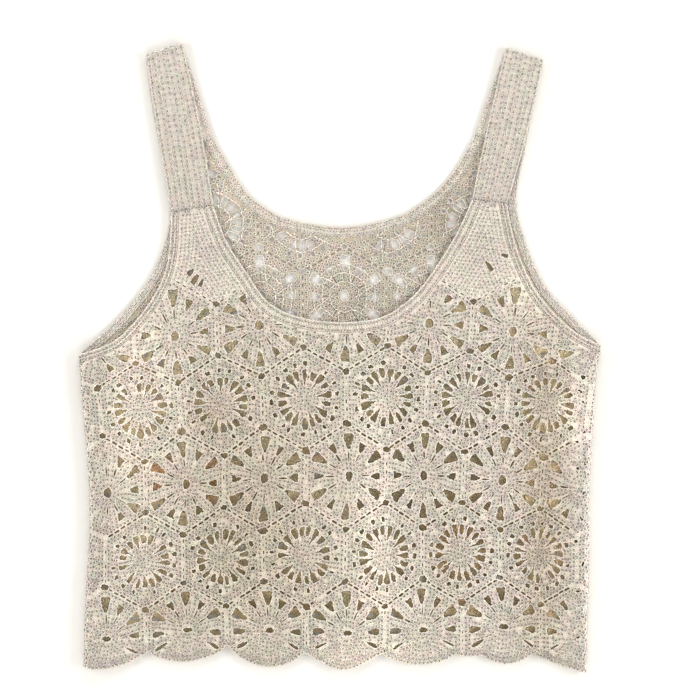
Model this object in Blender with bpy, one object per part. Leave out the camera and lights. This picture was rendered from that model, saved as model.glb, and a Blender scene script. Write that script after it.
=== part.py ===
"""Crochet tank top in cotton lace, laid flat on its back.

+X runs to the right across the top, +Y from the hem to the shoulders, +Z up.
The back panel lies on z = 0 and the front panel lies on it. The two meet in a
soft rounded fold down each side. The origin is under the middle of the top.
"""
import math

import bpy
import bmesh
from mathutils import Vector
from mathutils.geometry import delaunay_2d_cdt

MM = 0.001

# Walls and clearances
WALL = 1.8 * MM              # crocheted cotton cloth
SEAM = 0.3 * MM              # gap between neighbouring pieces
LAY = 2.5 * MM               # underside of the front panel where it lies on the back
FOLD_RADIUS = 3.5 * MM       # outer radius of the rounded side folds
FOLD_REACH = {"left": 30.0 * MM, "right": 17.0 * MM}   # how far in from a side fold the
#                              front sinks to LAY: the right side lies in a narrow roll
FOLD_EXTRA = (math.pi / 2 - 1) * FOLD_RADIUS   # cloth a quarter fold uses up

# Edgings and straps
NECK_BAND = 8.5 * MM
ARMHOLE_BAND = 6.5 * MM
BAND_RIDGE = 0.4 * MM        # raised chain along the middle of a front edging
BAND_STEP = 10.0 * MM
STRAP_RIBS = 5
RIB_HEIGHT = 0.5 * MM
SHOULDER_RADIUS = (LAY + WALL) / 2   # outer radius of the fold at the shoulder
FRONT_STATIONS = 9           # sections along a strap's front run, its fold and its back run
FOLD_STATIONS = 6
BACK_STATIONS = 5

# Meshing
CURVE_PARTS = 12             # parts that a curve between two given points is read in
SCALLOP_PARTS = 8
GRID_STEP = 15.0 * MM
EDGE_STEP = 9.0 * MM
FOLD_COLUMNS = (0.33, 0.67, 1.0)         # columns of points round a side fold, in quarter turns
NEXT_COLUMNS = (5.0 * MM, 13.0 * MM)     # columns of points just inside it
ROW_SHIFT = 0.25             # rows of loose points are staggered by this share of a step
KEEP_OFF = 3.5 * MM          # least distance from a loose point to an edge or gap
KEEP_OFF_AT_FOLD = 0.6 * MM
GAP_MARGIN = 3.0 * MM        # cloth left between a gap and the edge of the panel
GAP_FROM_FOLD = {"left": 7.5 * MM, "right": 12.5 * MM}   # a gap starts this far in from a fold
POINT_MERGE = 1e-7
SLOPE_REACH = 0.2 * MM       # half the distance over which the slope of the cloth is taken

# Widths of the laid body, in mm: height, left fold, right fold
BODY_ROWS = (
    (12.0, -217.6, 217.6),
    (-18.0, -215.4, 213.4),
    (-52.0, -212.6, 211.0),
    (-85.0, -209.6, 209.3),
    (-118.0, -207.9, 207.6),
    (-151.0, -208.0, 207.6),
    (-185.0, -210.2, 207.3),
    (-218.0, -212.0, 206.4),
    (-262.0, -212.8, 205.2),
)

# Rows of hexagons from the top, in mm: motif, middle x, middle y, pitch, sag at the sides, count.
# The count goes up or down by one from row to row, so that the rows interlock. The last row
# lies below the hem, where it only sets the corners of the row above.
MOTIF_ROWS = {
    "front": (
        ("burst", 5.8, 89.2, 72.8, 0.0, 4),
        ("wheel", 4.6, 31.1, 69.7, 22.4, 5),
        ("burst", 4.6, -32.0, 67.2, 7.5, 6),
        ("wheel", 2.9, -95.9, 65.0, 14.9, 7),
        ("burst", 0.4, -162.3, 64.7, 5.8, 6),
        ("hem", 2.5, -226.2, 65.7, 3.3, 7),
        ("burst", 2.5, -291.0, 65.7, 3.3, 6),
    ),
    "back": (
        ("wheel", 4.2, 173.0, 73.0, 0.0, 5),
        ("burst", 4.2, 112.5, 73.0, 0.0, 4),
        ("wheel", 4.0, 51.0, 69.0, 4.0, 5),
        ("burst", 4.0, -13.0, 67.0, 7.5, 6),
        ("wheel", 2.9, -79.0, 65.0, 10.0, 7),
        ("burst", 0.4, -147.0, 64.7, 5.8, 6),
        ("hem", 2.5, -215.0, 65.7, 3.3, 7),
        ("burst", 2.5, -281.0, 65.7, 3.3, 6),
    ),
}
SAG_SPAN = 207.0 * MM        # distance from the middle at which a row sags by its full value

# Motifs of the front that lie a little off their row, in mm: row, steps from the middle, shift
FRONT_SHIFTS = {
    (1, -2.0): (-2.2, -3.9), (1, -1.0): (-1.7, -1.7), (1, 0.0): (1.2, 1.0),
    (2, -2.5): (-2.5, -4.7), (2, -1.5): (-2.5, -4.7), (2, -0.5): (0.0, -1.9),
    (2, 0.5): (1.4, 0.0),
    (3, -3.0): (0.0, -3.6), (3, -2.0): (0.0, -3.6), (3, -1.0): (0.0, -2.7),
    (3, 0.0): (5.0, -2.5), (3, 1.0): (1.9, -0.6), (3, 2.0): (2.5, -0.6), (3, 3.0): (2.5, -0.6),
    (4, -2.5): (-1.9, -3.3), (4, -1.5): (-1.9, -3.3), (4, -0.5): (1.1, -2.5),
    (4, 0.5): (5.0, -1.7), (4, 1.5): (2.2, 2.2), (4, 2.5): (2.2, 2.2),
    (5, -3.0): (1.1, -4.7), (5, -2.0): (3.0, 1.7), (5, -1.0): (5.3, 0.0), (5, 0.0): (4.1, -3.0),
    (5, 1.0): (1.0, 0.3), (5, 2.0): (2.5, 4.5),
}

# Scallops of the hem, in mm: left end x and y, y in its middle, roundness (1 for a plain sine
# wave, less for a fuller lobe, more for a pointed one)
HEM_SCALLOPS = (
    (-212.8, -256.5, -257.3, 0.75),
    (-158.9, -243.6, -252.5, 0.60),
    (-93.4, -238.6, -256.9, 0.75),
    (-29.5, -245.3, -259.6, 1.25),
    (35.3, -246.1, -255.2, 0.75),
    (95.9, -246.9, -248.0, 1.00),
    (119.9, -247.7, -254.4, 0.75),
    (159.8, -246.1, -255.3, 0.90),
)
HEM_RIGHT = (205.2, -261.9)            # side fold x and y at the hem's right end

# Soft waves of the front, in mm: middle x, middle y, half reach across, along, turn in degrees, rise
FRONT_WAVES = (
    (-168.0, -70.0, 22.0, 90.0, 4.0, 0.9),
    (-92.0, -150.0, 38.0, 70.0, -24.0, 1.5),
    (-20.0, -30.0, 60.0, 28.0, 8.0, 0.9),
    (44.0, -118.0, 34.0, 84.0, 16.0, 1.7),
    (112.0, -62.0, 26.0, 78.0, -10.0, 1.6),
    (134.0, -190.0, 24.0, 46.0, 12.0, 1.3),
    (-24.0, -214.0, 56.0, 24.0, -6.0, 1.0),
    (172.0, -96.0, 13.0, 104.0, 2.0, -1.3),
)

# Gaps cut through each motif. Each is widest near its outer end: inner, widest and outer
# reach (shares of the way from the middle to a corner of the hexagon, or to the middle of a
# side), the widths there in mm, and the corners that have one. A half stands for a side.
GAPS = {
    "wheel": ((0.42, 0.66, 0.76), (3.0, 8.2, 5.0), (0, 1, 2, 3, 4, 5)),
    "burst": ((0.30, 0.50, 0.58), (2.2, 5.4, 3.4), (0, 2, 4)),
    "hem": ((0.42, 0.66, 0.76), (3.0, 8.2, 5.0), (0, 1, 1.5, 4.5, 5)),
}
EYES = {"wheel": (6.4, 7.8), "hem": (8.4, 4.4)}   # gap in the middle of a motif of the front:
#                                                   width and height in mm

# Edge lines, in mm
FRONT_NECKLINE = ((-105.0, 126.6), (-94.2, 97.5), (-78.4, 72.6), (-58.5, 45.6), (-30.8, 33.0),
                  (4.6, 29.5), (32.6, 33.0), (52.2, 43.6), (70.6, 62.0), (95.9, 100.8),
                  (110.0, 131.6))
BACK_NECKLINE = ((-105.0, 183.0), (-90.9, 158.1), (-77.6, 137.4), (-64.3, 126.0),
                 (-42.4, 114.8), (4.6, 108.3), (48.6, 117.0), (66.0, 126.4),
                 (81.8, 139.0), (97.0, 157.5), (113.3, 186.3))
FRONT_ARMHOLE_LEFT = ((-217.0, 2.1), (-184.8, 15.4), (-157.3, 46.4), (-143.2, 78.1),
                      (-139.9, 119.9))
FRONT_ARMHOLE_RIGHT = ((217.6, 10.0), (193.8, 22.8), (165.6, 51.9), (147.6, 89.3),
                       (139.0, 128.2))
BACK_ARMHOLE_LEFT = ((-217.0, 2.1), (-185.5, 30.9), (-158.9, 63.8), (-143.8, 100.5),
                     (-141.5, 131.0), (-149.0, 172.2))
BACK_ARMHOLE_RIGHT = ((217.6, 10.0), (196.3, 31.2), (170.2, 60.2), (152.0, 103.5),
                      (147.0, 134.0), (154.0, 172.2))

# Straps, in mm: run, outer edge x, y, inner edge x, y. The two shoulder rows are the fold.
STRAP_LEFT = (
    ("front", -139.9, 120.8, -105.0, 126.6),
    ("front", -150.2, 180.5, -114.4, 186.7),
    ("shoulder", -161.4, 251.1, -130.7, 261.9),
    ("back", -157.3, 217.9, -116.6, 218.7),
    ("back", -149.0, 172.2, -105.0, 183.0),
)
STRAP_RIGHT = (
    ("front", 139.0, 128.2, 110.0, 131.6),
    ("front", 154.8, 182.5, 122.6, 191.0),
    ("shoulder", 169.7, 246.9, 138.2, 257.7),
    ("back", 163.1, 217.9, 124.9, 220.7),
    ("back", 154.0, 172.2, 113.3, 186.3),
)

COTTON = (0.76, 0.69, 0.58)
COTTON_SHADED = (0.66, 0.60, 0.50)


# ---------------------------------------------------------------- curves

def blend(start, end, start_slope, end_slope, t):
    """A smooth way from start to end that leaves and arrives at the given slopes."""
    return (start * (2 * t**3 - 3 * t**2 + 1) + end * (3 * t**2 - 2 * t**3)
            + start_slope * (t**3 - 2 * t**2 + t) + end_slope * (t**3 - t**2))


def in_metres(points):
    return [Vector(point) * MM for point in points]


def smooth_line(points, step):
    """Even points along a smooth curve through the given ones."""
    knots = in_metres(points)
    fine = []
    for i in range(len(knots) - 1):
        before = knots[max(i - 1, 0)]
        after = knots[min(i + 2, len(knots) - 1)]
        start, end = knots[i], knots[i + 1]
        start_slope = (end - before) / 2
        end_slope = (after - start) / 2
        for k in range(CURVE_PARTS):
            t = k / CURVE_PARTS
            fine.append(blend(start, end, start_slope, end_slope, t))
    fine.append(knots[-1])
    return resample(fine, step)


def resample(line, step):
    lengths = [0.0]
    for a, b in zip(line, line[1:]):
        lengths.append(lengths[-1] + (b - a).length)
    count = max(1, round(lengths[-1] / step))
    even = []
    k = 0
    for i in range(count + 1):
        target = lengths[-1] * i / count
        while k < len(line) - 2 and lengths[k + 1] < target:
            k += 1
        t = (target - lengths[k]) / (lengths[k + 1] - lengths[k])
        even.append(line[k].lerp(line[k + 1], t))
    return even


def offset_line(line, distance):
    """The line moved to its left by a distance."""
    moved = []
    for i, point in enumerate(line):
        ahead = line[min(i + 1, len(line) - 1)] - line[max(i - 1, 0)]
        left = Vector((-ahead.y, ahead.x)).normalized()
        moved.append(point + left * distance)
    return moved


def meet(line, end, start, way):
    """The line with its first or last point, end 0 or -1, moved onto another straight line."""
    last = line[end]
    along = last - line[1 if end == 0 else -2]
    share = way.cross(start - last) / way.cross(along)
    trimmed = list(line)
    trimmed[end] = last + along * share
    return trimmed


def ease(t):
    t = min(max(t, 0.0), 1.0)
    return t * t * (3 - 2 * t)


def table_value(rows, height, column):
    """A column of a table of rows by falling height, read smoothly at one height."""
    if height >= rows[0][0] * MM:
        return rows[0][column] * MM
    for i in range(len(rows) - 1):
        top, bottom = rows[i], rows[i + 1]
        if height >= bottom[0] * MM:
            before = rows[max(i - 1, 0)]
            after = rows[min(i + 2, len(rows) - 1)]
            span = top[0] - bottom[0]
            slope_top = (bottom[column] - before[column]) / (before[0] - bottom[0]) * span
            slope_bottom = (after[column] - top[column]) / (top[0] - after[0]) * span
            t = (top[0] - height / MM) / span
            return MM * blend(top[column], bottom[column], slope_top, slope_bottom, t)
    return rows[-1][column] * MM


# ---------------------------------------------------------------- how the cloth lies

def seam_left(y):
    return table_value(BODY_ROWS, y, 1) - FOLD_EXTRA


def seam_right(y):
    return table_value(BODY_ROWS, y, 2) + FOLD_EXTRA


def front_rise(x, y):
    """Height of the soft waves of the front above where it would lie flat."""
    rise = 0.0
    for wave_x, wave_y, across, along, turn, height in FRONT_WAVES:
        dx = x - wave_x * MM
        dy = y - wave_y * MM
        angle = math.radians(turn)
        u = (dx * math.cos(angle) + dy * math.sin(angle)) / (across * MM)
        v = (dy * math.cos(angle) - dx * math.sin(angle)) / (along * MM)
        rise += height * MM * math.exp(-(u * u + v * v))
    return max(rise, 0.0)


def lie(x, y, side):
    """Where a point of the cut cloth lies, on its outer face. side is front or back."""
    left = seam_left(y)
    right = seam_right(y)
    run = min(x - left, right - x)
    turn = run / FOLD_RADIUS
    if turn < math.pi / 2:
        from_edge = FOLD_RADIUS * (1 - math.cos(turn))
        at_left = x - left < right - x
        place_x = left + FOLD_EXTRA + from_edge if at_left else right - FOLD_EXTRA - from_edge
        lift = FOLD_RADIUS * math.sin(turn)
    else:
        place_x = x
        lift = FOLD_RADIUS
    if side == "back":
        return Vector((place_x, y, FOLD_RADIUS - lift))
    reach = FOLD_REACH["left" if x - left < right - x else "right"]
    sink = ease((run - FOLD_RADIUS * math.pi / 2) / reach)
    flat = LAY + WALL + front_rise(x, y)
    return Vector((place_x, y, (FOLD_RADIUS + lift) * (1 - sink) + flat * sink))


def outward(x, y, side):
    """Unit normal of the outer face."""
    across = lie(x + SLOPE_REACH, y, side) - lie(x - SLOPE_REACH, y, side)
    along = lie(x, y + SLOPE_REACH, side) - lie(x, y - SLOPE_REACH, side)
    normal = across.cross(along).normalized()
    return normal if side == "front" else -normal


# ---------------------------------------------------------------- objects

def new_object(name, mesh, colour):
    material = bpy.data.materials.new(name)
    material.use_nodes = True
    shader = material.node_tree.nodes["Principled BSDF"]
    shader.inputs["Base Color"].default_value = (*colour, 1.0)
    shader.inputs["Roughness"].default_value = 0.9
    shader.inputs["Metallic"].default_value = 0.0
    mesh.materials.append(material)
    mesh.shade_smooth()
    mesh.set_sharp_from_angle(angle=math.radians(40))
    piece = bpy.data.objects.new(name, mesh)
    bpy.context.scene.collection.objects.link(piece)
    return piece


def loft(name, rings, colour):
    """A closed solid through rings that all have the same number of points."""
    bm = bmesh.new()
    loops = [[bm.verts.new(point) for point in ring] for ring in rings]
    count = len(loops[0])
    for near, far in zip(loops, loops[1:]):
        for i in range(count):
            j = (i + 1) % count
            bm.faces.new((near[i], near[j], far[j], far[i]))
    bm.faces.new(loops[0])
    bm.faces.new(loops[-1])
    bmesh.ops.recalc_face_normals(bm, faces=bm.faces)
    mesh = bpy.data.meshes.new(name)
    bm.to_mesh(mesh)
    bm.free()
    return new_object(name, mesh, colour)


def edging(name, columns, side, ridge, colour):
    """A band between an edge line and two lines inside it, its middle one raised."""
    heights = (0.0, ridge, 0.0)
    rings = []
    for i in range(len(columns[0])):
        outer = []
        inner = []
        for column, height in zip(columns, heights):
            x, y = column[i]
            normal = outward(x, y, side)
            outer.append(lie(x, y, side) + normal * height)
            inner.append(lie(x, y, side) - normal * WALL)
        rings.append(outer + [inner[2], inner[0]])
    return loft(name, rings, colour)


# ---------------------------------------------------------------- lace

def motif_middles(side):
    """Every motif by its row and its steps from the middle: its kind and its middle."""
    cells = {}
    for row, (kind, middle_x, middle_y, pitch, sag, count) in enumerate(MOTIF_ROWS[side]):
        for column in range(-1, count + 1):
            steps = column - (count - 1) / 2
            x = (middle_x + pitch * steps) * MM
            y = middle_y * MM - sag * MM * (pitch * steps * MM / SAG_SPAN) ** 2
            shift = FRONT_SHIFTS.get((row, steps), (0.0, 0.0)) if side == "front" else (0.0, 0.0)
            cells[row, steps] = (kind, Vector((x, y)) + Vector(shift) * MM)
    return cells


def corners_of(cells, key):
    """The six corners of a hexagon, from the top round to the left, or None at the rim."""
    row, steps = key
    around = ((row - 1, 0.5), (row - 1, -0.5), (row, -1.0), (row + 1, -0.5), (row + 1, 0.5),
              (row, 1.0))
    ring = [cells.get((near_row, steps + step)) for near_row, step in around]
    middle = cells[key][1]
    corners = []
    for i in range(6):
        one, two = ring[i], ring[(i + 1) % 6]
        if one is None or two is None:
            corners.append(None)
        else:
            corners.append((middle + one[1] + two[1]) / 3)
    return corners


def lace_gaps(side):
    """The larger gaps of every motif, each a six-sided outline."""
    cells = motif_middles(side)
    gaps = []
    for key, (kind, middle) in sorted(cells.items()):
        reaches, widths, which = GAPS[kind]
        corners = corners_of(cells, key)
        for i in which:
            one, two = corners[math.floor(i)], corners[math.ceil(i)]
            if one is None or two is None:
                continue
            way = (one + two) / 2 - middle
            across = Vector((-way.y, way.x)).normalized() * MM / 2
            one_side = [middle + way * r + across * w for r, w in zip(reaches, widths)]
            other_side = [middle + way * r - across * w for r, w in zip(reaches, widths)]
            gaps.append(one_side + other_side[::-1])
        if kind in EYES and side == "front":
            half_width, half_height = (size * MM / 2 for size in EYES[kind])
            turns = [math.radians(60 * i + 30) for i in range(6)]
            gaps.append([middle + Vector((math.cos(a) * half_width, math.sin(a) * half_height))
                         for a in turns])
    return gaps


def inside(point, outline):
    hit = False
    for a, b in zip(outline, outline[1:] + outline[:1]):
        if (a.y > point.y) != (b.y > point.y):
            if point.x < a.x + (point.y - a.y) * (b.x - a.x) / (b.y - a.y):
                hit = not hit
    return hit


def distance_to(point, outline):
    nearest = 1.0
    for a, b in zip(outline, outline[1:] + outline[:1]):
        along = b - a
        t = min(max((point - a).dot(along) / along.length_squared, 0.0), 1.0)
        nearest = min(nearest, (point - a - along * t).length)
    return nearest


def hem_line():
    """The scalloped hem, from the left side fold to the right one."""
    ends = [(x, y) for x, y, _, _ in HEM_SCALLOPS[1:]] + [HEM_RIGHT]
    line = []
    for (x0, y0, low, roundness), (x1, y1) in zip(HEM_SCALLOPS, ends):
        for k in range(SCALLOP_PARTS):
            t = k / SCALLOP_PARTS
            dip = math.sin(math.pi * t) ** roundness
            chord = y0 + (y1 - y0) * t
            line.append((x0 + (x1 - x0) * t, chord + (low - (y0 + y1) / 2) * dip))
    line.append(HEM_RIGHT)
    return in_metres(line)


def seam_point(hand, y):
    """The edge of the cut at a side seam, at one height."""
    if hand == "left":
        return Vector((seam_left(y) + SEAM / 2, y))
    return Vector((seam_right(y) - SEAM / 2, y))


def side_line(hand, low, high):
    count = max(1, round((high - low) / EDGE_STEP))
    return [seam_point(hand, low + (high - low) * k / count) for k in range(count + 1)]


def panel_outline(armholes, neckline, hem):
    """The cut of a panel inside its edgings, clockwise from the hem's left end."""
    left = side_line("left", hem[0].y, armholes["left"][0].y)
    right = side_line("right", hem[-1].y, armholes["right"][0].y)
    outline = left + armholes["left"][1:] + neckline
    outline += armholes["right"][:0:-1] + right[::-1] + hem[-2:0:-1]
    return outline


def grid_points(outline, gaps):
    """Loose points inside the cut, closer together along the side folds."""
    quarter = FOLD_RADIUS * math.pi / 2
    columns = [quarter * share for share in FOLD_COLUMNS]
    columns += [quarter + step for step in NEXT_COLUMNS]
    points = []
    low = min(p.y for p in outline)
    high = max(p.y for p in outline)
    rows = int((high - low) / GRID_STEP)
    for row in range(1, rows):
        y = low + (high - low) * row / rows
        left = seam_left(y)
        right = seam_right(y)
        for run in columns:
            points.append(Vector((left + run, y)))
            points.append(Vector((right - run, y)))
        span = right - left - 2 * columns[-1]
        count = round(span / GRID_STEP)
        for k in range(1, count):
            shift = ROW_SHIFT if row % 2 else -ROW_SHIFT
            points.append(Vector((left + columns[-1] + span * (k + shift) / count, y)))
    kept = []
    for point in points:
        fold_run = min(point.x - seam_left(point.y), seam_right(point.y) - point.x)
        clear = KEEP_OFF_AT_FOLD if fold_run < quarter + MM else KEEP_OFF
        if not inside(point, outline) or distance_to(point, outline) < clear:
            continue
        if all(distance_to(point, gap) >= KEEP_OFF and not inside(point, gap) for gap in gaps):
            kept.append(point)
    return kept


def panel(name, side, outline, gaps, colour):
    """A lace panel: its cut, meshed flat round its gaps, laid in place and given its wall."""
    quarter = FOLD_RADIUS * math.pi / 2
    kept_gaps = []
    for gap in gaps:
        in_reach = all(inside(p, outline) and distance_to(p, outline) > GAP_MARGIN
                       and p.x - seam_left(p.y) > quarter + GAP_FROM_FOLD["left"]
                       and seam_right(p.y) - p.x > quarter + GAP_FROM_FOLD["right"]
                       for p in gap)
        if in_reach:
            kept_gaps.append(gap)
    loose = grid_points(outline, kept_gaps)
    points = list(outline)
    edges = [(i, (i + 1) % len(outline)) for i in range(len(outline))]
    for gap in kept_gaps:
        start = len(points)
        points += gap
        edges += [(start + i, start + (i + 1) % len(gap)) for i in range(len(gap))]
    points += loose
    flat, _, faces, _, _, _ = delaunay_2d_cdt(points, edges, [], 0, POINT_MERGE)
    bm = bmesh.new()
    cut = bm.verts.layers.float_vector.new("cut")
    verts = [bm.verts.new(lie(p.x, p.y, side)) for p in flat]
    for vert, point in zip(verts, flat):
        vert[cut] = (point.x, point.y, 0.0)
    for face in faces:
        middle = sum((flat[i] for i in face), Vector((0.0, 0.0))) / len(face)
        if inside(middle, outline) and not any(inside(middle, gap) for gap in kept_gaps):
            bm.faces.new([verts[i] for i in face])
    unused = [vert for vert in bm.verts if not vert.link_faces]
    bmesh.ops.delete(bm, geom=unused, context="VERTS")
    grown = bmesh.ops.extrude_face_region(bm, geom=bm.faces[:])
    for vert in grown["geom"]:
        if isinstance(vert, bmesh.types.BMVert):
            vert.co -= outward(vert[cut].x, vert[cut].y, side) * WALL
    bmesh.ops.recalc_face_normals(bm, faces=bm.faces)
    mesh = bpy.data.meshes.new(name)
    bm.to_mesh(mesh)
    bm.free()
    print(name, "has", len(kept_gaps), "gaps")
    return new_object(name, mesh, colour)


# ---------------------------------------------------------------- straps

def joint(rows, run):
    """The line where a strap meets a panel: its outer and inner end."""
    row = rows[0] if run == "front" else rows[-1]
    return Vector(row[1:3]) * MM, Vector(row[3:5]) * MM


def run_point(run, t, share):
    """A point of one run of a strap. t goes from its first row, at 0, to its last, at 1.

    The shoulder row is drawn in by the radius of the fold that goes on beyond it."""
    points = []
    for kind, outer_x, outer_y, inner_x, inner_y in run:
        outer = Vector((outer_x, outer_y)) * MM
        inner = Vector((inner_x, inner_y)) * MM
        point = outer.lerp(inner, share)
        if kind == "shoulder":
            point -= beyond_fold(outer, inner) * SHOULDER_RADIUS
        points.append(point)
    bend = points[1] * 2 - (points[0] + points[2]) / 2
    return points[0] * (1 - t) ** 2 + bend * 2 * t * (1 - t) + points[2] * t * t


def beyond_fold(outer, inner):
    """The way across the shoulder fold, up and away from the strap."""
    across = (inner - outer).normalized().orthogonal()
    return across if across.y > 0 else -across


def strap(name, rows, colour):
    """A ribbed band from the front, round the shoulder fold and down to the back."""
    columns = STRAP_RIBS * 4
    shares = [k / columns for k in range(columns + 1)]
    front = [row for row in rows if row[0] != "back"]
    back = [row for row in rows if row[0] != "front"]
    shoulder = rows[2]
    beyond = beyond_fold(Vector(shoulder[1:3]), Vector(shoulder[3:5]))

    # Stations along the band: run, place on it, angle round the fold, height of the ribs
    stations = [(front, k / FRONT_STATIONS, 0.0, 1.0) for k in range(FRONT_STATIONS)]
    for k in range(FOLD_STATIONS + 1):
        angle = math.pi * k / FOLD_STATIONS
        stations.append((front, 1.0, angle, (1 + math.cos(angle)) / 2))
    stations += [(back, k / BACK_STATIONS, math.pi, 0.0) for k in range(1, BACK_STATIONS + 1)]

    rings = []
    for run, t, angle, ribs in stations:
        turned = beyond * math.sin(angle)
        normal = Vector((turned.x, turned.y, math.cos(angle)))
        outer = []
        inner = []
        for share in shares:
            middle = run_point(run, t, share)
            point = Vector((middle.x, middle.y, SHOULDER_RADIUS)) + normal * SHOULDER_RADIUS
            rib = ribs * math.sin(math.pi * STRAP_RIBS * share) ** 2
            outer.append(point + normal * RIB_HEIGHT * rib)
            inner.append(point - normal * WALL)
        rings.append(outer + [inner[columns], inner[columns // 2], inner[0]])
    return loft(name, rings, colour)


# ---------------------------------------------------------------- the top

def side_pieces(side, neckline, armholes, straps, colour):
    """The panel of one side and the three edgings round it."""
    ridge = BAND_RIDGE if side == "front" else 0.0
    drop = Vector((0.0, SEAM))
    joints = {}
    for hand, rows in straps.items():
        outer, inner = joint(rows, side)
        joints[hand] = (outer - drop, inner - outer)

    def neck_line(width):
        line = offset_line(smooth_line(neckline, BAND_STEP), -width)
        return meet(meet(line, 0, *joints["left"]), -1, *joints["right"])

    def armhole_line(hand, width):
        inwards = -width if hand == "left" else width
        line = offset_line(smooth_line(armholes[hand], BAND_STEP), inwards)
        start = seam_point(hand, line[0].y)
        down = seam_point(hand, line[0].y - GRID_STEP) - start
        return meet(meet(line, 0, start, down), -1, *joints[hand])

    neck = [neck_line(NECK_BAND * share) for share in (0.0, 0.5, 1.0)]
    edging(side + "_neck_band", neck, side, ridge, colour)
    for hand in ("left", "right"):
        columns = [armhole_line(hand, ARMHOLE_BAND * share) for share in (0.0, 0.5, 1.0)]
        edging(side + "_armhole_band_" + hand, columns, side, ridge, colour)
    inner_armholes = {hand: armhole_line(hand, ARMHOLE_BAND + SEAM) for hand in armholes}
    outline = panel_outline(inner_armholes, neck_line(NECK_BAND + SEAM), hem_line())
    panel(side + "_panel", side, outline, lace_gaps(side), colour)


def build():
    for old in list(bpy.data.objects):
        bpy.data.objects.remove(old, do_unlink=True)
    straps = {"left": STRAP_LEFT, "right": STRAP_RIGHT}
    front_armholes = {"left": FRONT_ARMHOLE_LEFT, "right": FRONT_ARMHOLE_RIGHT}
    back_armholes = {"left": BACK_ARMHOLE_LEFT, "right": BACK_ARMHOLE_RIGHT}
    side_pieces("front", FRONT_NECKLINE, front_armholes, straps, COTTON)
    side_pieces("back", BACK_NECKLINE, back_armholes, straps, COTTON_SHADED)
    for hand, rows in straps.items():
        strap("strap_" + hand, rows, COTTON)


build()
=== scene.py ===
import math
from functools import partial

import bmesh
import bpy
import numpy as np
from mathutils import Matrix
from mathutils.geometry import delaunay_2d_cdt
from mathutils.kdtree import KDTree


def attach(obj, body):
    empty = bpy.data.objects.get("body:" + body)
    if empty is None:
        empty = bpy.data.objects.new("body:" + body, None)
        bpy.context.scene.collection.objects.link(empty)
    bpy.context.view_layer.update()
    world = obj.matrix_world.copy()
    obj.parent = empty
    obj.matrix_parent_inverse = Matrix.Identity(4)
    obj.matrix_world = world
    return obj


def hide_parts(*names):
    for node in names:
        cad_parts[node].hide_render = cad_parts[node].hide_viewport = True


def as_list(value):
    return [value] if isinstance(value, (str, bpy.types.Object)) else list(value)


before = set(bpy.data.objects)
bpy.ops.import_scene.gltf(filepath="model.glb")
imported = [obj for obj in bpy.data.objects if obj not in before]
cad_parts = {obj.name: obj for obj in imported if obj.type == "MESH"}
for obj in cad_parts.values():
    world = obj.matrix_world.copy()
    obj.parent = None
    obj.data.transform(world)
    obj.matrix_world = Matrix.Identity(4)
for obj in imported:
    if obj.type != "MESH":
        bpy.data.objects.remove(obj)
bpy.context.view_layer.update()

# Crochet lace top laid flat on its back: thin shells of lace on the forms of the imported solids,
# yarn round every gap, and rows of single stitches. Tables and sizes are in millimetres.
mm = 0.001
chance = np.random.default_rng(11)


# How the cloth lies

cloth = {
    "wall": 1.8, "seam": 0.3, "lay": 2.5,  # wall, gap at seams, underside of the front
    "foldRadius": 3.5,  # outer radius of the rounded side folds
    "foldReachLeft": 30, "foldReachRight": 17,  # where the front has sunk to the back
    "bodyRows": (  # height, left fold, right fold
        (12, -217.6, 217.6), (-18, -215.4, 213.4), (-52, -212.6, 211),
        (-85, -209.6, 209.3), (-118, -207.9, 207.6), (-151, -208, 207.6),
        (-185, -210.2, 207.3), (-218, -212, 206.4), (-262, -212.8, 205.2)),
    "waves": (  # soft waves: middle x, middle y, half reach across, along, turn, rise
        (-168, -70, 22, 90, 4, 0.9), (-92, -150, 38, 70, -24, 1.5),
        (-20, -30, 60, 28, 8, 0.9), (44, -118, 34, 84, 16, 1.7),
        (112, -62, 26, 78, -10, 1.6), (134, -190, 24, 46, 12, 1.3),
        (-24, -214, 56, 24, -6, 1), (172, -96, 13, 104, 2, -1.3)),
}
foldExtra = (math.pi / 2 - 1) * cloth["foldRadius"]  # cloth that a quarter fold uses up


def bend(t):
    # weights of the two ends of a smooth piece of line, and of the slopes there
    return 2 * t**3 - 3 * t**2 + 1, 3 * t**2 - 2 * t**3, t**3 - 2 * t**2 + t, t**3 - t**2


def readRows(column, heights):
    # one side of the body, read smoothly at given heights
    table = np.array(cloth["bodyRows"])[::-1]
    ys, xs = table[:, 0], table[:, column]
    slopes = np.gradient(xs, ys)
    slopes[1:-1] = (xs[2:] - xs[:-2]) / (ys[2:] - ys[:-2])
    i = np.clip(np.searchsorted(ys, heights) - 1, 0, len(ys) - 2)
    span = ys[i + 1] - ys[i]
    here, there, leaving, arriving = bend((heights - ys[i]) / span)
    return xs[i] * here + xs[i + 1] * there + span * (slopes[i] * leaving + slopes[i + 1] * arriving)


seamHeights = np.linspace(cloth["bodyRows"][-1][0], cloth["bodyRows"][0][0], 400)
seamLines = {"left": readRows(1, seamHeights) - foldExtra,
             "right": readRows(2, seamHeights) + foldExtra}


def seamAt(hand, heights):
    return np.interp(heights, seamHeights, seamLines[hand])


def ease(t):
    t = np.clip(t, 0.0, 1.0)
    return t * t * (3 - 2 * t)


def waveRise(x, y):
    rise = np.zeros_like(x)
    for waveX, waveY, across, along, turn, height in cloth["waves"]:
        angle = math.radians(turn)
        u = ((x - waveX) * math.cos(angle) + (y - waveY) * math.sin(angle)) / across
        v = ((y - waveY) * math.cos(angle) - (x - waveX) * math.sin(angle)) / along
        rise += height * np.exp(-(u * u + v * v))
    return np.maximum(rise, 0.0)


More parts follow.
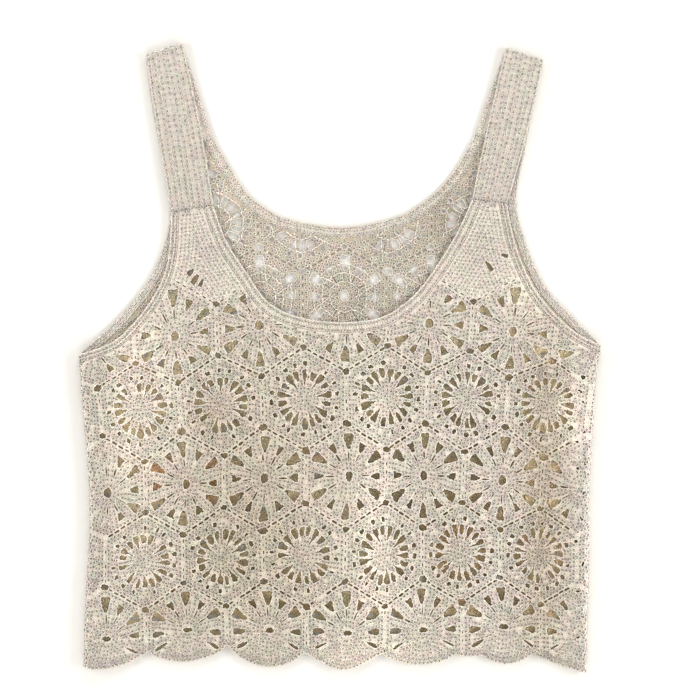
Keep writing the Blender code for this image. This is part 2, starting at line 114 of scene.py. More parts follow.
def lieOn(cut, side):
    # where points of the cut lie, on the outer face of the front or of the back
    x, y = cut[..., 0], cut[..., 1]
    left, right = seamAt("left", y), seamAt("right", y)
    radius = cloth["foldRadius"]
    atLeft = x - left < right - x
    run = np.where(atLeft, x - left, right - x)
    turn = np.clip(run / radius, 0.0, math.pi / 2)
    lift = radius * np.sin(turn)
    fromEdge = radius * (1 - np.cos(turn))
    folded = np.where(atLeft, left + foldExtra + fromEdge, right - foldExtra - fromEdge)
    placeX = np.where(turn < math.pi / 2, folded, x)
    if side == "back":
        return np.stack((placeX, y, radius - lift), axis=-1)
    reach = np.where(atLeft, cloth["foldReachLeft"], cloth["foldReachRight"])
    sink = ease((run - radius * math.pi / 2) / reach)
    flat = cloth["lay"] + cloth["wall"] + waveRise(x, y)
    return np.stack((placeX, y, (radius + lift) * (1 - sink) + flat * sink), axis=-1)


def unit(ways):
    return ways / np.maximum(np.linalg.norm(ways, axis=-1, keepdims=True), 1e-6)


def surfaceFrame(surface, cut):
    # place, the two ways along the cloth, and up, at points of the cut
    step = 0.2
    aside, ahead = np.array((step, 0.0)), np.array((0.0, step))
    across = (surface(cut + aside) - surface(cut - aside)) / (2 * step)
    along = (surface(cut + ahead) - surface(cut - ahead)) / (2 * step)
    return surface(cut), across, along, unit(np.cross(across, along))


surfaces = {side: partial(lieOn, side=side) for side in ("front", "back")}


# Lines of the cut

edges = {
    "frontNeck": ((-105, 126.6), (-94.2, 97.5), (-78.4, 72.6), (-58.5, 45.6), (-30.8, 33),
                  (4.6, 29.5), (32.6, 33), (52.2, 43.6), (70.6, 62), (95.9, 100.8),
                  (110, 131.6)),
    "backNeck": ((-105, 183), (-90.9, 158.1), (-77.6, 137.4), (-64.3, 126),
                 (-42.4, 114.8), (4.6, 108.3), (48.6, 117), (66, 126.4), (81.8, 139),
                 (97, 157.5), (113.3, 186.3)),
    "frontArmleft": ((-217, 2.1), (-184.8, 15.4), (-157.3, 46.4), (-143.2, 78.1),
                     (-139.9, 119.9)),
    "frontArmright": ((217.6, 10), (193.8, 22.8), (165.6, 51.9), (147.6, 89.3),
                      (139, 128.2)),
    "backArmleft": ((-217, 2.1), (-185.5, 30.9), (-158.9, 63.8), (-143.8, 100.5),
                    (-141.5, 131), (-149, 172.2)),
    "backArmright": ((217.6, 10), (196.3, 31.2), (170.2, 60.2), (152, 103.5),
                     (147, 134), (154, 172.2)),
    "scallops": (  # left end x and y, y in the middle, roundness; the last is the right end
        (-212.8, -256.5, -257.3, 0.75), (-158.9, -243.6, -252.5, 0.60),
        (-93.4, -238.6, -256.9, 0.75), (-29.5, -245.3, -259.6, 1.25),
        (35.3, -246.1, -255.2, 0.75), (95.9, -246.9, -248, 1),
        (119.9, -247.7, -254.4, 0.75), (159.8, -246.1, -255.3, 0.90), (205.2, -261.9, 0, 1)),
    "neckBand": 8.5, "armBand": 6.5,
    "curveSteps": 12, "scallopSteps": 14, "sideSteps": 54,
    "seamReach": 15,  # length of the side seam that an armhole is run on to
}


def smoothLine(points, step):
    # even points along a smooth curve through the given ones
    knots, steps = np.array(points), edges["curveSteps"]
    fine = []
    for i in range(len(knots) - 1):
        before, after = knots[max(i - 1, 0)], knots[min(i + 2, len(knots) - 1)]
        start, end = knots[i], knots[i + 1]
        for t in np.arange(steps) / steps:
            here, there, leaving, arriving = bend(t)
            fine.append(start * here + end * there + (end - before) / 2 * leaving
                        + (after - start) / 2 * arriving)
    return evenLine(np.array(fine + [knots[-1]]), step)


def lengthsOf(line):
    return np.concatenate(([0.0], np.cumsum(np.linalg.norm(np.diff(line, axis=0), axis=1))))


def pointsAt(line, lengths, at):
    return np.stack([np.interp(at, lengths, column) for column in line.T], axis=1)


def evenLine(line, step):
    lengths = lengthsOf(line)
    count = max(1, round(lengths[-1] / step))
    return pointsAt(line, lengths, np.linspace(0, lengths[-1], count + 1))


def closed(ring):
    return np.concatenate((ring, ring[:1]))


def paired(xs, ys):
    # points from their x and y, one of which may be a single number
    return np.column_stack(np.broadcast_arrays(xs, ys))


def leftOf(line):
    ahead = np.gradient(line, axis=0)
    return unit(np.stack((-ahead[:, 1], ahead[:, 0]), axis=1))


def meet(line, end, start, way):
    # the line with one end moved along itself onto another straight line
    last = line[end]
    along = last - line[1 if end == 0 else -2]
    gap = start - last
    share = (way[0] * gap[1] - way[1] * gap[0]) / (way[0] * along[1] - way[1] * along[0])
    trimmed = line.copy()
    trimmed[end] = last + along * share
    return trimmed


def strapJoint(side, hand):
    row = straps[hand][0 if side == "front" else -1]
    outer, inner = np.array(row[1:3]), np.array(row[3:5])
    return outer - (0.0, cloth["seam"]), inner - outer


def neckLine(side, width, step=5.0):
    line = smoothLine(edges[side + "Neck"], step)
    line = line - leftOf(line) * width
    return meet(meet(line, 0, *strapJoint(side, "left")), -1, *strapJoint(side, "right"))


def armLine(side, hand, width, step=5.0):
    line = smoothLine(edges[side + "Arm" + hand], step)
    line = line + leftOf(line) * (-width if hand == "left" else width)
    heights = line[0, 1] - np.array((0, edges["seamReach"]))
    start, lower = paired(seamAt(hand, heights), heights)
    return meet(meet(line, 0, start, lower - start), -1, *strapJoint(side, hand))


def hemLine():
    line, steps = [], edges["scallopSteps"]
    for (x0, y0, low, roundness), (x1, y1, *_) in zip(edges["scallops"], edges["scallops"][1:]):
        for t in np.arange(steps) / steps:
            dip = math.sin(math.pi * t) ** roundness
            line.append((x0 + (x1 - x0) * t, y0 + (y1 - y0) * t + (low - (y0 + y1) / 2) * dip))
    line.append(edges["scallops"][-1][:2])
    return np.array(line)


def panelOutline(side):
    hem = hemLine()
    neck = neckLine(side, edges["neckBand"] + cloth["seam"])
    arms = {hand: armLine(side, hand, edges["armBand"] + cloth["seam"])
            for hand in ("left", "right")}
    sides = {}
    for hand, low in (("left", hem[0, 1]), ("right", hem[-1, 1])):
        ys = np.linspace(low, arms[hand][0, 1], edges["sideSteps"])
        inset = cloth["seam"] / 2 * (1 if hand == "left" else -1)
        sides[hand] = paired(seamAt(hand, ys) + inset, ys)
    return np.concatenate((sides["left"], arms["left"][1:], neck, arms["right"][:0:-1],
                           sides["right"][::-1], hem[-2:0:-1]))


# Straps: run, outer edge x and y, inner edge x and y

straps = {
    "left": (("front", -139.9, 120.8, -105, 126.6), ("front", -150.2, 180.5, -114.4, 186.7),
             ("shoulder", -161.4, 251.1, -130.7, 261.9), ("back", -157.3, 217.9, -116.6, 218.7),
             ("back", -149, 172.2, -105, 183)),
    "right": (("front", 139, 128.2, 110, 131.6), ("front", 154.8, 182.5, 122.6, 191),
              ("shoulder", 169.7, 246.9, 138.2, 257.7), ("back", 163.1, 217.9, 124.9, 220.7),
              ("back", 154, 172.2, 113.3, 186.3)),
}
shoulderRadius = (cloth["lay"] + cloth["wall"]) / 2


def strapRun(rows, t, share):
    # a point of one run of a strap, drawn in at the shoulder by the fold beyond it
    t, share = t[..., None], share[..., None]
    points = []
    for kind, *ends in rows:
        outer, inner = np.array(ends[:2]), np.array(ends[2:])
        point = outer + (inner - outer) * share
        if kind == "shoulder":
            point = point - beyondFold(outer, inner) * shoulderRadius
        points.append(point)
    bend = points[1] * 2 - (points[0] + points[2]) / 2
    return points[0] * (1 - t) ** 2 + bend * 2 * t * (1 - t) + points[2] * t * t


def beyondFold(outer, inner):
    across = (inner - outer) / np.linalg.norm(inner - outer)
    way = np.array((across[1], -across[0]))
    return way if way[1] > 0 else -way


def strapLengths(hand):
    rows = straps[hand]
    middles = [(np.array(row[1:3]) + np.array(row[3:5])) / 2 for row in rows]
    front = np.linalg.norm(middles[1] - middles[0]) + np.linalg.norm(middles[2] - middles[1])
    back = np.linalg.norm(middles[3] - middles[2]) + np.linalg.norm(middles[4] - middles[3])
    return front - shoulderRadius, math.pi * shoulderRadius, back - shoulderRadius


def strapSurface(hand):
    # x is the place across the strap from its left edge, y the length from the front joint
    rows = straps[hand]
    front, fold, back = strapLengths(hand)
    beyond = beyondFold(np.array(rows[2][1:3]), np.array(rows[2][3:5]))

    def surface(cut):
        share, run = cut[..., 0] / strapWidth, cut[..., 1]
        if hand == "right":
            share = 1 - share  # the rows give the outer edge first
        flat = np.where((run < front)[..., None],
                        strapRun(rows[:3], np.clip(run / front, -0.02, 1.0), share),
                        strapRun(rows[2:], np.clip((run - front - fold) / back, 0.0, 1.02), share))
        angle = np.clip((run - front) / shoulderRadius, 0.0, math.pi)
        out = beyond * np.sin(angle)[..., None] * shoulderRadius
        z = shoulderRadius + np.cos(angle) * shoulderRadius
        return np.concatenate((flat + out, z[..., None]), axis=-1)

    return surface


strapWidth = 33.0


# Motifs: rows of hexagons that interlock

motifs = {
    "apothem": 33.1,  # of the regular hexagon that the patterns are drawn in
    "beyond": 30,  # how far outside the cut the middle of a motif may lie
    "sagSpan": 207,  # distance from the middle at which a row sags by its full value
    "front": (  # kind, middle x, middle y, pitch, sag at the sides, count
        ("fan", 5.8, 150.3, 75, 0, 5), ("fan", 5.8, 89.2, 72.8, 0, 4),
        ("wheel", 4.6, 31.1, 69.7, 22.4, 5), ("burst", 4.6, -32, 67.2, 7.5, 6),
        ("wheel", 2.9, -95.9, 65, 14.9, 7), ("burst", 0.4, -162.3, 64.7, 5.8, 6),
        ("hem", 2.5, -226.2, 65.7, 3.3, 7), ("burst", 2.5, -291, 65.7, 3.3, 6)),
    "back": (
        ("fan", 4.2, 234, 73, 0, 6), ("wheel", 4.2, 173, 73, 0, 5),
        ("burst", 4.2, 112.5, 73, 0, 4), ("wheel", 4, 51, 69, 4, 5),
        ("burst", 4, -13, 67, 7.5, 6), ("wheel", 2.9, -79, 65, 10, 7),
        ("burst", 0.4, -147, 64.7, 5.8, 6), ("hem", 2.5, -215, 65.7, 3.3, 7),
        ("burst", 2.5, -281, 65.7, 3.3, 6)),
    "frontShifts": {  # motifs that lie a little off their row: row, steps, shift
        (2, -2): (-2.2, -3.9), (2, -1): (-1.7, -1.7), (2, 0): (1.2, 1),
        (3, -2.5): (-2.5, -4.7), (3, -1.5): (-2.5, -4.7), (3, -0.5): (0, -1.9),
        (3, 0.5): (1.4, 0),
        (4, -3): (0, -3.6), (4, -2): (0, -3.6), (4, -1): (0, -2.7),
        (4, 0): (5, -2.5), (4, 1): (1.9, -0.6), (4, 2): (2.5, -0.6), (4, 3): (2.5, -0.6),
        (5, -2.5): (-1.9, -3.3), (5, -1.5): (-1.9, -3.3), (5, -0.5): (1.1, -2.5),
        (5, 0.5): (5, -1.7), (5, 1.5): (2.2, 2.2), (5, 2.5): (2.2, 2.2),
        (6, -3): (1.1, -4.7), (6, -2): (3, 1.7), (6, -1): (5.3, 0),
        (6, 0): (4.1, -3), (6, 1): (1, 0.3), (6, 2): (2.5, 4.5)},
}


def motifCells(side):
    # every hexagon by its row and its steps from the middle: kind, middle, corners, turn
    middles = {}
    for row, (kind, middleX, middleY, pitch, sag, count) in enumerate(motifs[side]):
        for column in range(-2, count + 2):
            steps = column - (count - 1) / 2
            away = pitch * steps
            y = middleY - sag * (away / motifs["sagSpan"]) ** 2
            shift = motifs["frontShifts"].get((row, steps), (0.0, 0.0)) if side == "front" else (0, 0)
            middles[row, steps] = (kind, np.array((middleX + away, y)) + shift)
    cells = []
    for (row, steps), (kind, middle) in sorted(middles.items()):
        around = ((row - 1, 0.5), (row - 1, -0.5), (row, -1.0), (row + 1, -0.5), (row + 1, 0.5),
                  (row, 1.0))
        ring = [middles.get((near, steps + step)) for near, step in around]
        if None in ring:
            continue
        corners = np.array([(middle + ring[i][1] + ring[(i + 1) % 6][1]) / 3 for i in range(6)])
        cells.append((kind, middle, corners, chance.uniform(0.0, 40.0)))
    return cells


def fitHexagon(points, middle, corners):
    # points of the regular hexagon, moved into a real one whose first corner is its top
    scaled = points / motifs["apothem"]
    angle = np.arctan2(scaled[..., 1], scaled[..., 0]) - math.pi / 2
    reach = np.linalg.norm(scaled, axis=-1)
    wedge = np.floor(angle / (math.pi / 3)).astype(int)
    local = angle - wedge * math.pi / 3
    second = reach * np.sin(local)
    first = reach * np.cos(local) * math.sqrt(3) / 2 - second / 2
    one, two = corners[wedge % 6] - middle, corners[(wedge + 1) % 6] - middle
    return middle + first[..., None] * one + second[..., None] * two


# Gaps of each motif: outlines in the regular hexagon

gapShapes = {
    # reach and width of a gap, from its inner tip to its outer end
    "wheelCorner": ((19.4, 2), (22.2, 4.4), (26.4, 6.8), (30, 8.4), (31.4, 6.6)),
    "wheelSide": ((19.2, 1.8), (21.8, 3.8), (24.4, 5.6), (27, 7.2)),
    "wheelSlit": ((11.2, 0.6), (13.6, 1.4), (16.2, 1.4), (18, 0.7)),
    "burstLong": ((9.5, 0.7), (13.5, 1.9), (16.4, 4.4), (19.6, 5.6), (21.6, 4.2)),
    "burstShort": ((14.2, 2.4), (16.8, 4.6), (20, 5.2), (21.6, 3.4)),
    "burstOuter": ((24.2, 2.8), (26, 4.4), (27.8, 3)),
    "hemSide": ((18.6, 2), (22, 4.4), (26, 5.6), (28, 4)),
    "hemLow": ((18.4, 1), (22.4, 2.6), (26.4, 3.2), (29, 1.8)),
    "yoke": {  # turn in degrees, then reach and width, by the hand of the yoke
        "left": ((218, (21, 1.8), (24.4, 3.6), (27.6, 4)),
                 (231, (21.4, 2), (25, 4.4), (29, 4.4)),
                 (244, (22.4, 1.4), (25.6, 3.2), (28.4, 3.4))),
        "right": ((-48, (9.6, 1), (14, 3.2), (19.4, 4.2)),
                  (-12, (17.4, 1.2), (20.6, 3), (23.4, 3)))},
    "wheelEye": (3.4, 4.2), "hemEye": (4.2, 2.2), "cornerEye": (3.9, 3.1),
    # how much narrower or wider gaps are made, and the share of some that isn't left out
    "grow": {"wheel": (0.82, 1.06), "slit": (0.6, 1.1), "hem": (0.85, 1.1), "hemLow": (0.5, 1.2),
             "hemSlit": (0.5, 1), "burst": (0.72, 1.1), "outer": (0.45, 1.15),
             "join": (0.62, 1.18), "eye": (0.8, 1.1), "width": (0.82, 1.18)},
    "kept": {"slit": 0.85, "burst": 0.95, "outer": 0.84},
    # slits along the joins of hexagons: "plain" is their size on upright joins and at the yoke
    "join": {"slit": (5.1, 1.7), "count": 6, "spare": 0.7, "waist": 0.68, "plain": 0.55,
             "upright": 0.85, "lostUpright": 0.35, "lost": 0.06, "stray": 0.3},
    "rimFrom": 1.5,  # gaps narrower than this have no yarn round them
    "wander": 0.3, "turnStray": 1.4,  # how far the points and the ways of gaps stray
    "edgeMargin": 1,  # cloth left between a gap and the edge
    "foldMargin": {"left": 13, "right": 18},
    "underFront": 0.66, "openBack": 0.96,  # size of the back's gaps, covered and open
    "coverMargin": 2,  # gaps nearer the front's edge count as open
    # small holes by the right fold: place, half sizes, turn
    "edgeHoles": ((202, -16.4, 2.3, 1.9, 20), (199.6, -28.4, 2.6, 1.1, -38),
                  (202, -37.4, 1.7, 1, -55), (203.6, -61.4, 2.4, 1.1, 28),
                  (196.8, -70.2, 1.9, 1.1, 10), (203.4, -88.2, 2.7, 0.9, 84),
                  (197.4, -92, 1.5, 1.2, 0), (202.6, -112.6, 1.6, 1.4, 40),
                  (200.4, -133.8, 2.6, 1.2, -50), (196, -152.4, 1.8, 1.5, 0),
                  (201.8, -171.2, 2.4, 1, 70), (198, -193.6, 2, 1.3, 20),
                  (201, -214.4, 2.2, 1, -40), (197.4, -232, 1.8, 1.2, 10)),
}


def wayAt(turn):
    # the way of an angle, and the way to its left
    return np.array(((math.cos(turn), math.sin(turn)), (-math.sin(turn), math.cos(turn))))


def taperedGap(shape, degrees, share=1.0):
    # one long gap that points outwards, with both its sides
    way, aside = wayAt(math.radians(degrees + chance.normal(0, gapShapes["turnStray"])))
    spread = gapShapes["grow"]["width"]
    sides = []
    for sign in (1, -1):
        reaches = [reach + chance.normal(0, gapShapes["wander"]) for reach, _ in shape]
        halves = [width * share / 2 * chance.uniform(*spread) for _, width in shape]
        sides.append([way * reach + aside * sign * half for reach, half in zip(reaches, halves)])
    return np.array(sides[0] + sides[1][::-1])


def roundGap(middle, acrossX, acrossY, count=6, turn=30.0, spread=0.14):
    angles = np.radians(turn + np.arange(count) * 360 / count)
    stray = chance.uniform(1 - spread, 1 + spread, count)
    return np.array(middle) + np.stack((np.cos(angles) * acrossX * stray,
                                        np.sin(angles) * acrossY * stray), 1)


def motifGaps(kind, middle, turn):
    gaps, kept = [], gapShapes["kept"]

    def add(shape, degrees, grow):
        gaps.append(taperedGap(shape, degrees, chance.uniform(*gapShapes["grow"][grow])))

    if kind in ("wheel", "hem"):
        gaps.append(roundGap((0, 0), *gapShapes[kind + "Eye"], 8, 22.5))
    if kind == "wheel":
        for k in range(12):
            add(gapShapes["wheelCorner" if k % 2 else "wheelSide"], 30 * k, "wheel")
            if chance.random() < kept["slit"]:
                add(gapShapes["wheelSlit"], 30 * k, "slit")
    if kind == "hem":
        for k in range(7):
            shape = "wheelCorner" if k % 2 else "wheelSide" if k % 6 else "hemSide"
            add(gapShapes[shape], 30 * k, "hem")
        for degrees in (-27, 207):
            add(gapShapes["hemLow"], degrees, "hemLow")
        for k in range(1, 6):
            add(gapShapes["wheelSlit"], 30 * k, "hemSlit")
    if kind == "burst":
        for k in range(18):
            shape = gapShapes["burstLong" if k % 2 else "burstShort"]
            way = turn + 20 * k + chance.normal(0, 1.3)
            shape = [(reach + chance.normal(0, 0.5), width) for reach, width in shape]
            if chance.random() < kept["burst"]:
                add(shape, way, "burst")
            if chance.random() < kept["outer"]:
                add(gapShapes["burstOuter"], way - 2, "outer")
    if kind == "fan":
        for degrees, *shape in gapShapes["yoke"]["left" if middle[0] < 0 else "right"]:
            gaps.append(taperedGap(shape, degrees))
    return gaps


def joinsOf(cells):
    # each side and each corner of the hexagons once, with the kinds that meet there
    sides, corners = {}, {}
    for kind, _, ring, _ in cells:
        for one, two in zip(ring, np.roll(ring, -1, axis=0)):
            side = tuple(np.round((one + two) / 8).astype(int))
            sides.setdefault(side, (one, two, []))[2].append(kind)
            corner = tuple(np.round(one / 4).astype(int))
            corners.setdefault(corner, (one, []))[1].append(kind)
    return sides.values(), corners.values()


def slitPlaces(one, two):
    count, spare = gapShapes["join"]["count"], gapShapes["join"]["spare"]
    return [one + (two - one) * (k + (1 + spare) / 2) / (count + spare) for k in range(count)]


def joinGaps(cells):
    # slits along the joins of neighbouring hexagons, and an eye where three meet
    gaps, join, grow = [], gapShapes["join"], gapShapes["grow"]
    long, wide = join["slit"]
    sides, corners = joinsOf(cells)
    for one, two, kinds in sides:
        if kinds.count("fan") == len(kinds):
            continue
        along = (two - one) / np.linalg.norm(two - one)
        aside = np.array((-along[1], along[0]))
        upright = abs(along[1]) > join["upright"]
        plain = join["plain"] if "fan" in kinds or upright else 1.0
        for spot in slitPlaces(one, two):
            strength = plain * chance.uniform(*grow["join"])
            if chance.random() < join["lostUpright" if upright else "lost"]:
                continue
            half, deep = along * long / 2 * min(strength + 0.1, 1), aside * wide / 2 * strength
            spot = spot + aside * chance.uniform(-join["stray"], join["stray"])
            waist = half * join["waist"]
            gaps.append(np.array((spot - half, spot - waist + deep, spot + waist + deep,
                                  spot + half, spot + waist - deep, spot - waist - deep)))
    for spot, kinds in corners:
        if kinds.count("fan") < 2:
            acrossX, acrossY = np.array(gapShapes["cornerEye"]) * chance.uniform(*grow["eye"])
            gaps.append(roundGap(spot, acrossX, acrossY, 6, chance.uniform(0, 60), 0.24))
    return gaps


def signedArea(ring):
    x, y = ring[:, 0], ring[:, 1]
    return (x * np.roll(y, -1) - np.roll(x, -1) * y).sum() / 2


def movedOut(ring, away):
    # a closed ring of points, each moved outwards
    ahead = np.roll(ring, -1, 0) - np.roll(ring, 1, 0)
    out = unit(np.stack((ahead[:, 1], -ahead[:, 0]), axis=1))
    return ring + out * (away if signedArea(ring) > 0 else -away)


def insideOf(points, outline):
    hit = np.zeros(len(points), bool)
    x, y = points[:, 0], points[:, 1]
    with np.errstate(divide="ignore", invalid="ignore"):
        for (ax, ay), (bx, by) in zip(outline, np.roll(outline, -1, axis=0)):
            crosses = (ay > y) != (by > y)
            hit ^= crosses & (x < ax + (y - ay) * (bx - ax) / (by - ay))
    return hit


def insideAny(points, outlines):
    hit = np.zeros(len(points), bool)
    for outline in outlines:
        low, high = outline.min(axis=0), outline.max(axis=0)
        near = np.flatnonzero(((points >= low) & (points <= high)).all(axis=1))
        if len(near):
            hit[near] |= insideOf(points[near], outline)
    return hit


def distanceTo(points, line):
    nearest = np.full(len(points), 1e9)
    for a, b in zip(line, line[1:]):
        along = b - a
        t = np.clip((points - a) @ along / (along @ along), 0.0, 1.0)
        nearest = np.minimum(nearest, np.linalg.norm(points - a - t[:, None] * along, axis=1))
    return nearest


def wellInside(points, outline, margin):
    hit = insideOf(points, outline)
    hit[hit] = distanceTo(points[hit], closed(outline)) > margin
    return hit


def middlesOf(rings):
    return np.array([ring.mean(axis=0) for ring in rings])


def panelGaps(side, outline, cells):
    gaps = []
    low, high = outline.min(axis=0) - motifs["beyond"], outline.max(axis=0) + motifs["beyond"]
    for kind, middle, corners, turn in cells:
        if (middle >= low).all() and (middle <= high).all():
            gaps += [fitHexagon(gap, middle, corners) for gap in motifGaps(kind, middle, turn)]
    gaps += joinGaps(cells)
    if side == "back":
        middles = middlesOf(gaps)
        for k, covered in enumerate(coveredByFront(middles)):
            share = gapShapes["underFront" if covered else "openBack"]
            gaps[k] = middles[k] + (gaps[k] - middles[k]) * share
    points = np.concatenate(gaps)
    clear = wellInside(points, outline, gapShapes["edgeMargin"])
    clear &= points[:, 0] - seamAt("left", points[:, 1]) > gapShapes["foldMargin"]["left"]
    clear &= seamAt("right", points[:, 1]) - points[:, 0] > gapShapes["foldMargin"]["right"]
    starts = np.cumsum([0] + [len(gap) for gap in gaps[:-1]])
    gaps = [gap for gap, fine in zip(gaps, np.logical_and.reduceat(clear, starts)) if fine]
    if side == "front":
        gaps += [edgeHole(*hole) for hole in gapShapes["edgeHoles"]]
    return gaps


def edgeHole(x, y, halfLong, halfWide, degrees):
    ring = roundGap((0, 0), halfLong, halfWide, 6, 0.0, 0.2)
    return ring @ wayAt(math.radians(degrees)) + (x, y)


outlines = {side: panelOutline(side) for side in surfaces}


def coveredByFront(points):
    # points of the back that lie well under the front
    return wellInside(points, outlines["front"], gapShapes["coverMargin"])


# Stitches: small closed loops, and short strands between them

stitch = {
    "loop": (3.8, 3.3), "strand": (3.4, 1.15), "thick": 1.2,
    "pitch": 3.3,  # from one stitch to the next along a row
    "stray": 0.2, "strayTurn": 13, "straySize": 0.10, "strayLevel": 0.07, "tilt": 0.24,
    # layers of stitches: level over the surface, and thickness
    "front": (-0.45, 1.2), "under": (0.44, 0.7), "inner": (1.42, 1), "through": (1.32, 0.8),
    "innerBright": 0.99, "innerReach": 7,  # inside of the back
    "innerFrom": 5,  # nothing of it shows below the armholes
    "throughReach": 1.6, "hemRows": (1.6, 4.6),
    # length, width, lift and brightness of the ties between motifs, and of the loops that fill
    "tie": (0.8, 1.2, -0.3, 0.9), "fill": (0.92, 0.95),
    "fillStep": 3.1, "fillRows": 0.87, "fillNear": 2.45,  # loops that fill what is left bare
    "gapMargin": 1.1, "slitMargin": 0.75, "edgeMargin": 1.1,
    "lowest": 0.02,  # pressed flat where it rests
}


def stitchesAt(kind, places, turns, long=1.0, wide=1.0, lift=0.0, bright=1.0):
    # x, y, turn, length, width, kind, rise above the level of the others, and brightness
    size = stitch["loop" if kind else "strand"]
    rows = np.empty((len(places), 8))
    rows[:, :2], rows[:, 2] = places, turns
    rows[:, 3], rows[:, 4] = size[0] * np.asarray(long), size[1] * np.asarray(wide)
    rows[:, 5], rows[:, 6], rows[:, 7] = kind, lift, bright
    return rows


strandsAt, loopsAt = partial(stitchesAt, 0), partial(stitchesAt, 1)


def rowAlong(line, count=None, shift=0.5, pitch=stitch["pitch"]):
    # places and outward turns of stitches along a line, with the outside on its right
    lengths = lengthsOf(line)
    count = count or max(1, round(lengths[-1] / pitch))
    at = (np.arange(count) + shift) / count * lengths[-1]
    ahead = np.gradient(line, axis=0)
    turns = np.unwrap(np.arctan2(ahead[:, 1], ahead[:, 0]))
    return pointsAt(line, lengths, at), np.interp(at, lengths, turns) - math.pi / 2


def rowOf(kind, line, pitch, look, lean=0.0):
    # cords and loops lie along the line, posts stand across it and lean to and fro
    spots, turns = rowAlong(line, pitch=pitch)
    leans = lean * np.where(np.arange(len(spots)) % 2, 1, -1) if kind == "post" else math.pi / 2
    return (loopsAt if kind == "loop" else strandsAt)(spots, turns + leans, *look)


def ringRow(reach, square=0.0, share=1.0):
    # a row round a ring between a circle, square 0, and the hexagon, square 1
    phi = np.linspace(0, 2 * math.pi, 721)
    corner = 1 / np.cos((phi + math.pi / 6) % (math.pi / 3) - math.pi / 6)
    radius = reach * (1 + square * (corner - 1))
    line = paired(radius * np.cos(phi), radius * np.sin(phi))
    count = max(3, round(lengthsOf(line)[-1] / stitch["pitch"] * share))
    return rowAlong(line, count, chance.random())


def ringsOf(rings, make=loopsAt, lean=0.0):
    rows = []
    for reach, square, share, *look in rings:
        spots, turns = ringRow(reach, square, share)
        rows.append(make(spots, turns + lean, *look))
    return rows


def spokeRow(angle, reaches, asides=0.0):
    way, side = wayAt(angle)
    return way * np.reshape(reaches, (-1, 1)) + side * np.reshape(asides, (-1, 1)), angle


spokes = {
    "reaches": np.arange(12.6, 27.5, 3.3),
    # reach, then how far each column of loops stands aside
    "asides": ((12, 1.4), (18, 1.95), (28, 1.9)), "wide": ((12, 0.88), (18, 1.12)),
    # columns of a petal: reaches, length, width; the inner ones lean, the outer ones are a pair
    "inner": ((11.2, 14), 0.85, 0.82), "middle": ((16.2, 18.8, 21.2), 0.8, (0.6, 0.64, 0.76)),
    "outer": 26.2, "lean": 5.5, "innerShare": 0.6, "outerTurns": (-0.062, 0.062), "outerShift": -0.035,
    "thinWheel": np.arange(14.5, 28, 3.2), "thinBurst": (10.4, 13.8, 17.2, 20.4),
    "crossing": np.arange(10, 32, 3.2), "crossLook": (0.42, 1.12),
}
ringRows = {  # reach, squareness, share of places; then length, width, lift and brightness
    "wheel": ((6.2, 0, 1, 0.92), (9.4, 0, 1, 0.92)),
    "burst": ((2.2, 0, 1, 0.88, 0.92), (5.2, 0, 1, 0.88, 0.92), (8.2, 0, 1, 0.88, 0.92)),
    "burstOuter": ((23.4, 0, 1, 0.76, 0.95),),
    "hemReaches": np.arange(12.4, 26.0, 3.1),
    "border": ((27.7, 1, 1, 0.88, 1, 0.1, 1.03), (30.6, 1, 1, 0.84, 1, 0.12, 1.04)),
    "thinWheel": ((7, 0, 0.9, 1, 1.9), (11, 0, 0.9, 1, 1.9)),
    "thinBurst": ((2.4, 0, 0.9, 1, 1.9), (6, 0, 0.9, 1, 1.9)),
    "thinOuter": ((23.4, 0, 0.8, 1, 1.8), (26.6, 0.4, 0.6, 1, 1.8)),
    "thinBorder": ((30.2, 1, 0.85, 1.3, 2),),
    "crossWheel": (11.5, 17.8, 24.5), "crossBurst": (13.0, 22.6),
}


def motifStitches(kind, turn):
    rows = []
    if kind in ("wheel", "hem"):
        rows += ringsOf(ringRows["wheel"])
        reaches = spokes["reaches"]
        asides = np.interp(reaches, *np.transpose(spokes["asides"]))
        wide = np.interp(reaches, *np.transpose(spokes["wide"]))
        for k in range(12 if kind == "wheel" else 6):
            for sign in (-1, 1):
                shifted = reaches + chance.uniform(-0.6, 0.6)
                places = spokeRow(math.radians(15 + 30 * k), shifted, asides * sign)
                rows.append(loopsAt(*places, 1.0, wide))
    if kind == "burst":
        rows += ringsOf(ringRows["burst"])
        for k in range(18):
            angle = math.radians(turn + 20 * k + 10)
            lean = math.radians(spokes["lean"] if k % 2 else -spokes["lean"])
            for way, (places, *look) in ((angle + lean * spokes["innerShare"], spokes["inner"]),
                                         (angle, spokes["middle"])):
                rows.append(loopsAt(*spokeRow(way, places), *look))
            for aside in spokes["outerTurns"]:
                rows.append(loopsAt(*spokeRow(angle + spokes["outerShift"] + aside, spokes["outer"])))
        rows += ringsOf(ringRows["burstOuter"])
    if kind == "hem":
        for reach in ringRows["hemReaches"]:
            ring = loopsAt(*ringRow(reach))
            rows.append(ring[ring[:, 1] < -0.25 * reach])
    if kind != "fan":
        rows += ringsOf(ringRows["border"])
    return np.concatenate(rows) if rows else np.empty((0, 8))


def wrongSideStitches(kind):
    # thin strands that cross the back of a motif, seen inside the neck
    reaches = ringRows["crossWheel" if kind in ("wheel", "hem") else "crossBurst"]
    look = spokes["crossLook"]
    rows = ringsOf([(reach, 0.3, 1.05, 1.1, 0.62, *look) for reach in reaches], strandsAt,
                   math.pi / 2)
    for k in range(6):
        places, turn = spokeRow(math.radians(60 * k + 15), spokes["crossing"],
                                spokes["crossing"] * 0.35 - 6)
        rows.append(strandsAt(places, turn + 0.34, 1.15, 0.6, *look))
    return np.concatenate(rows)


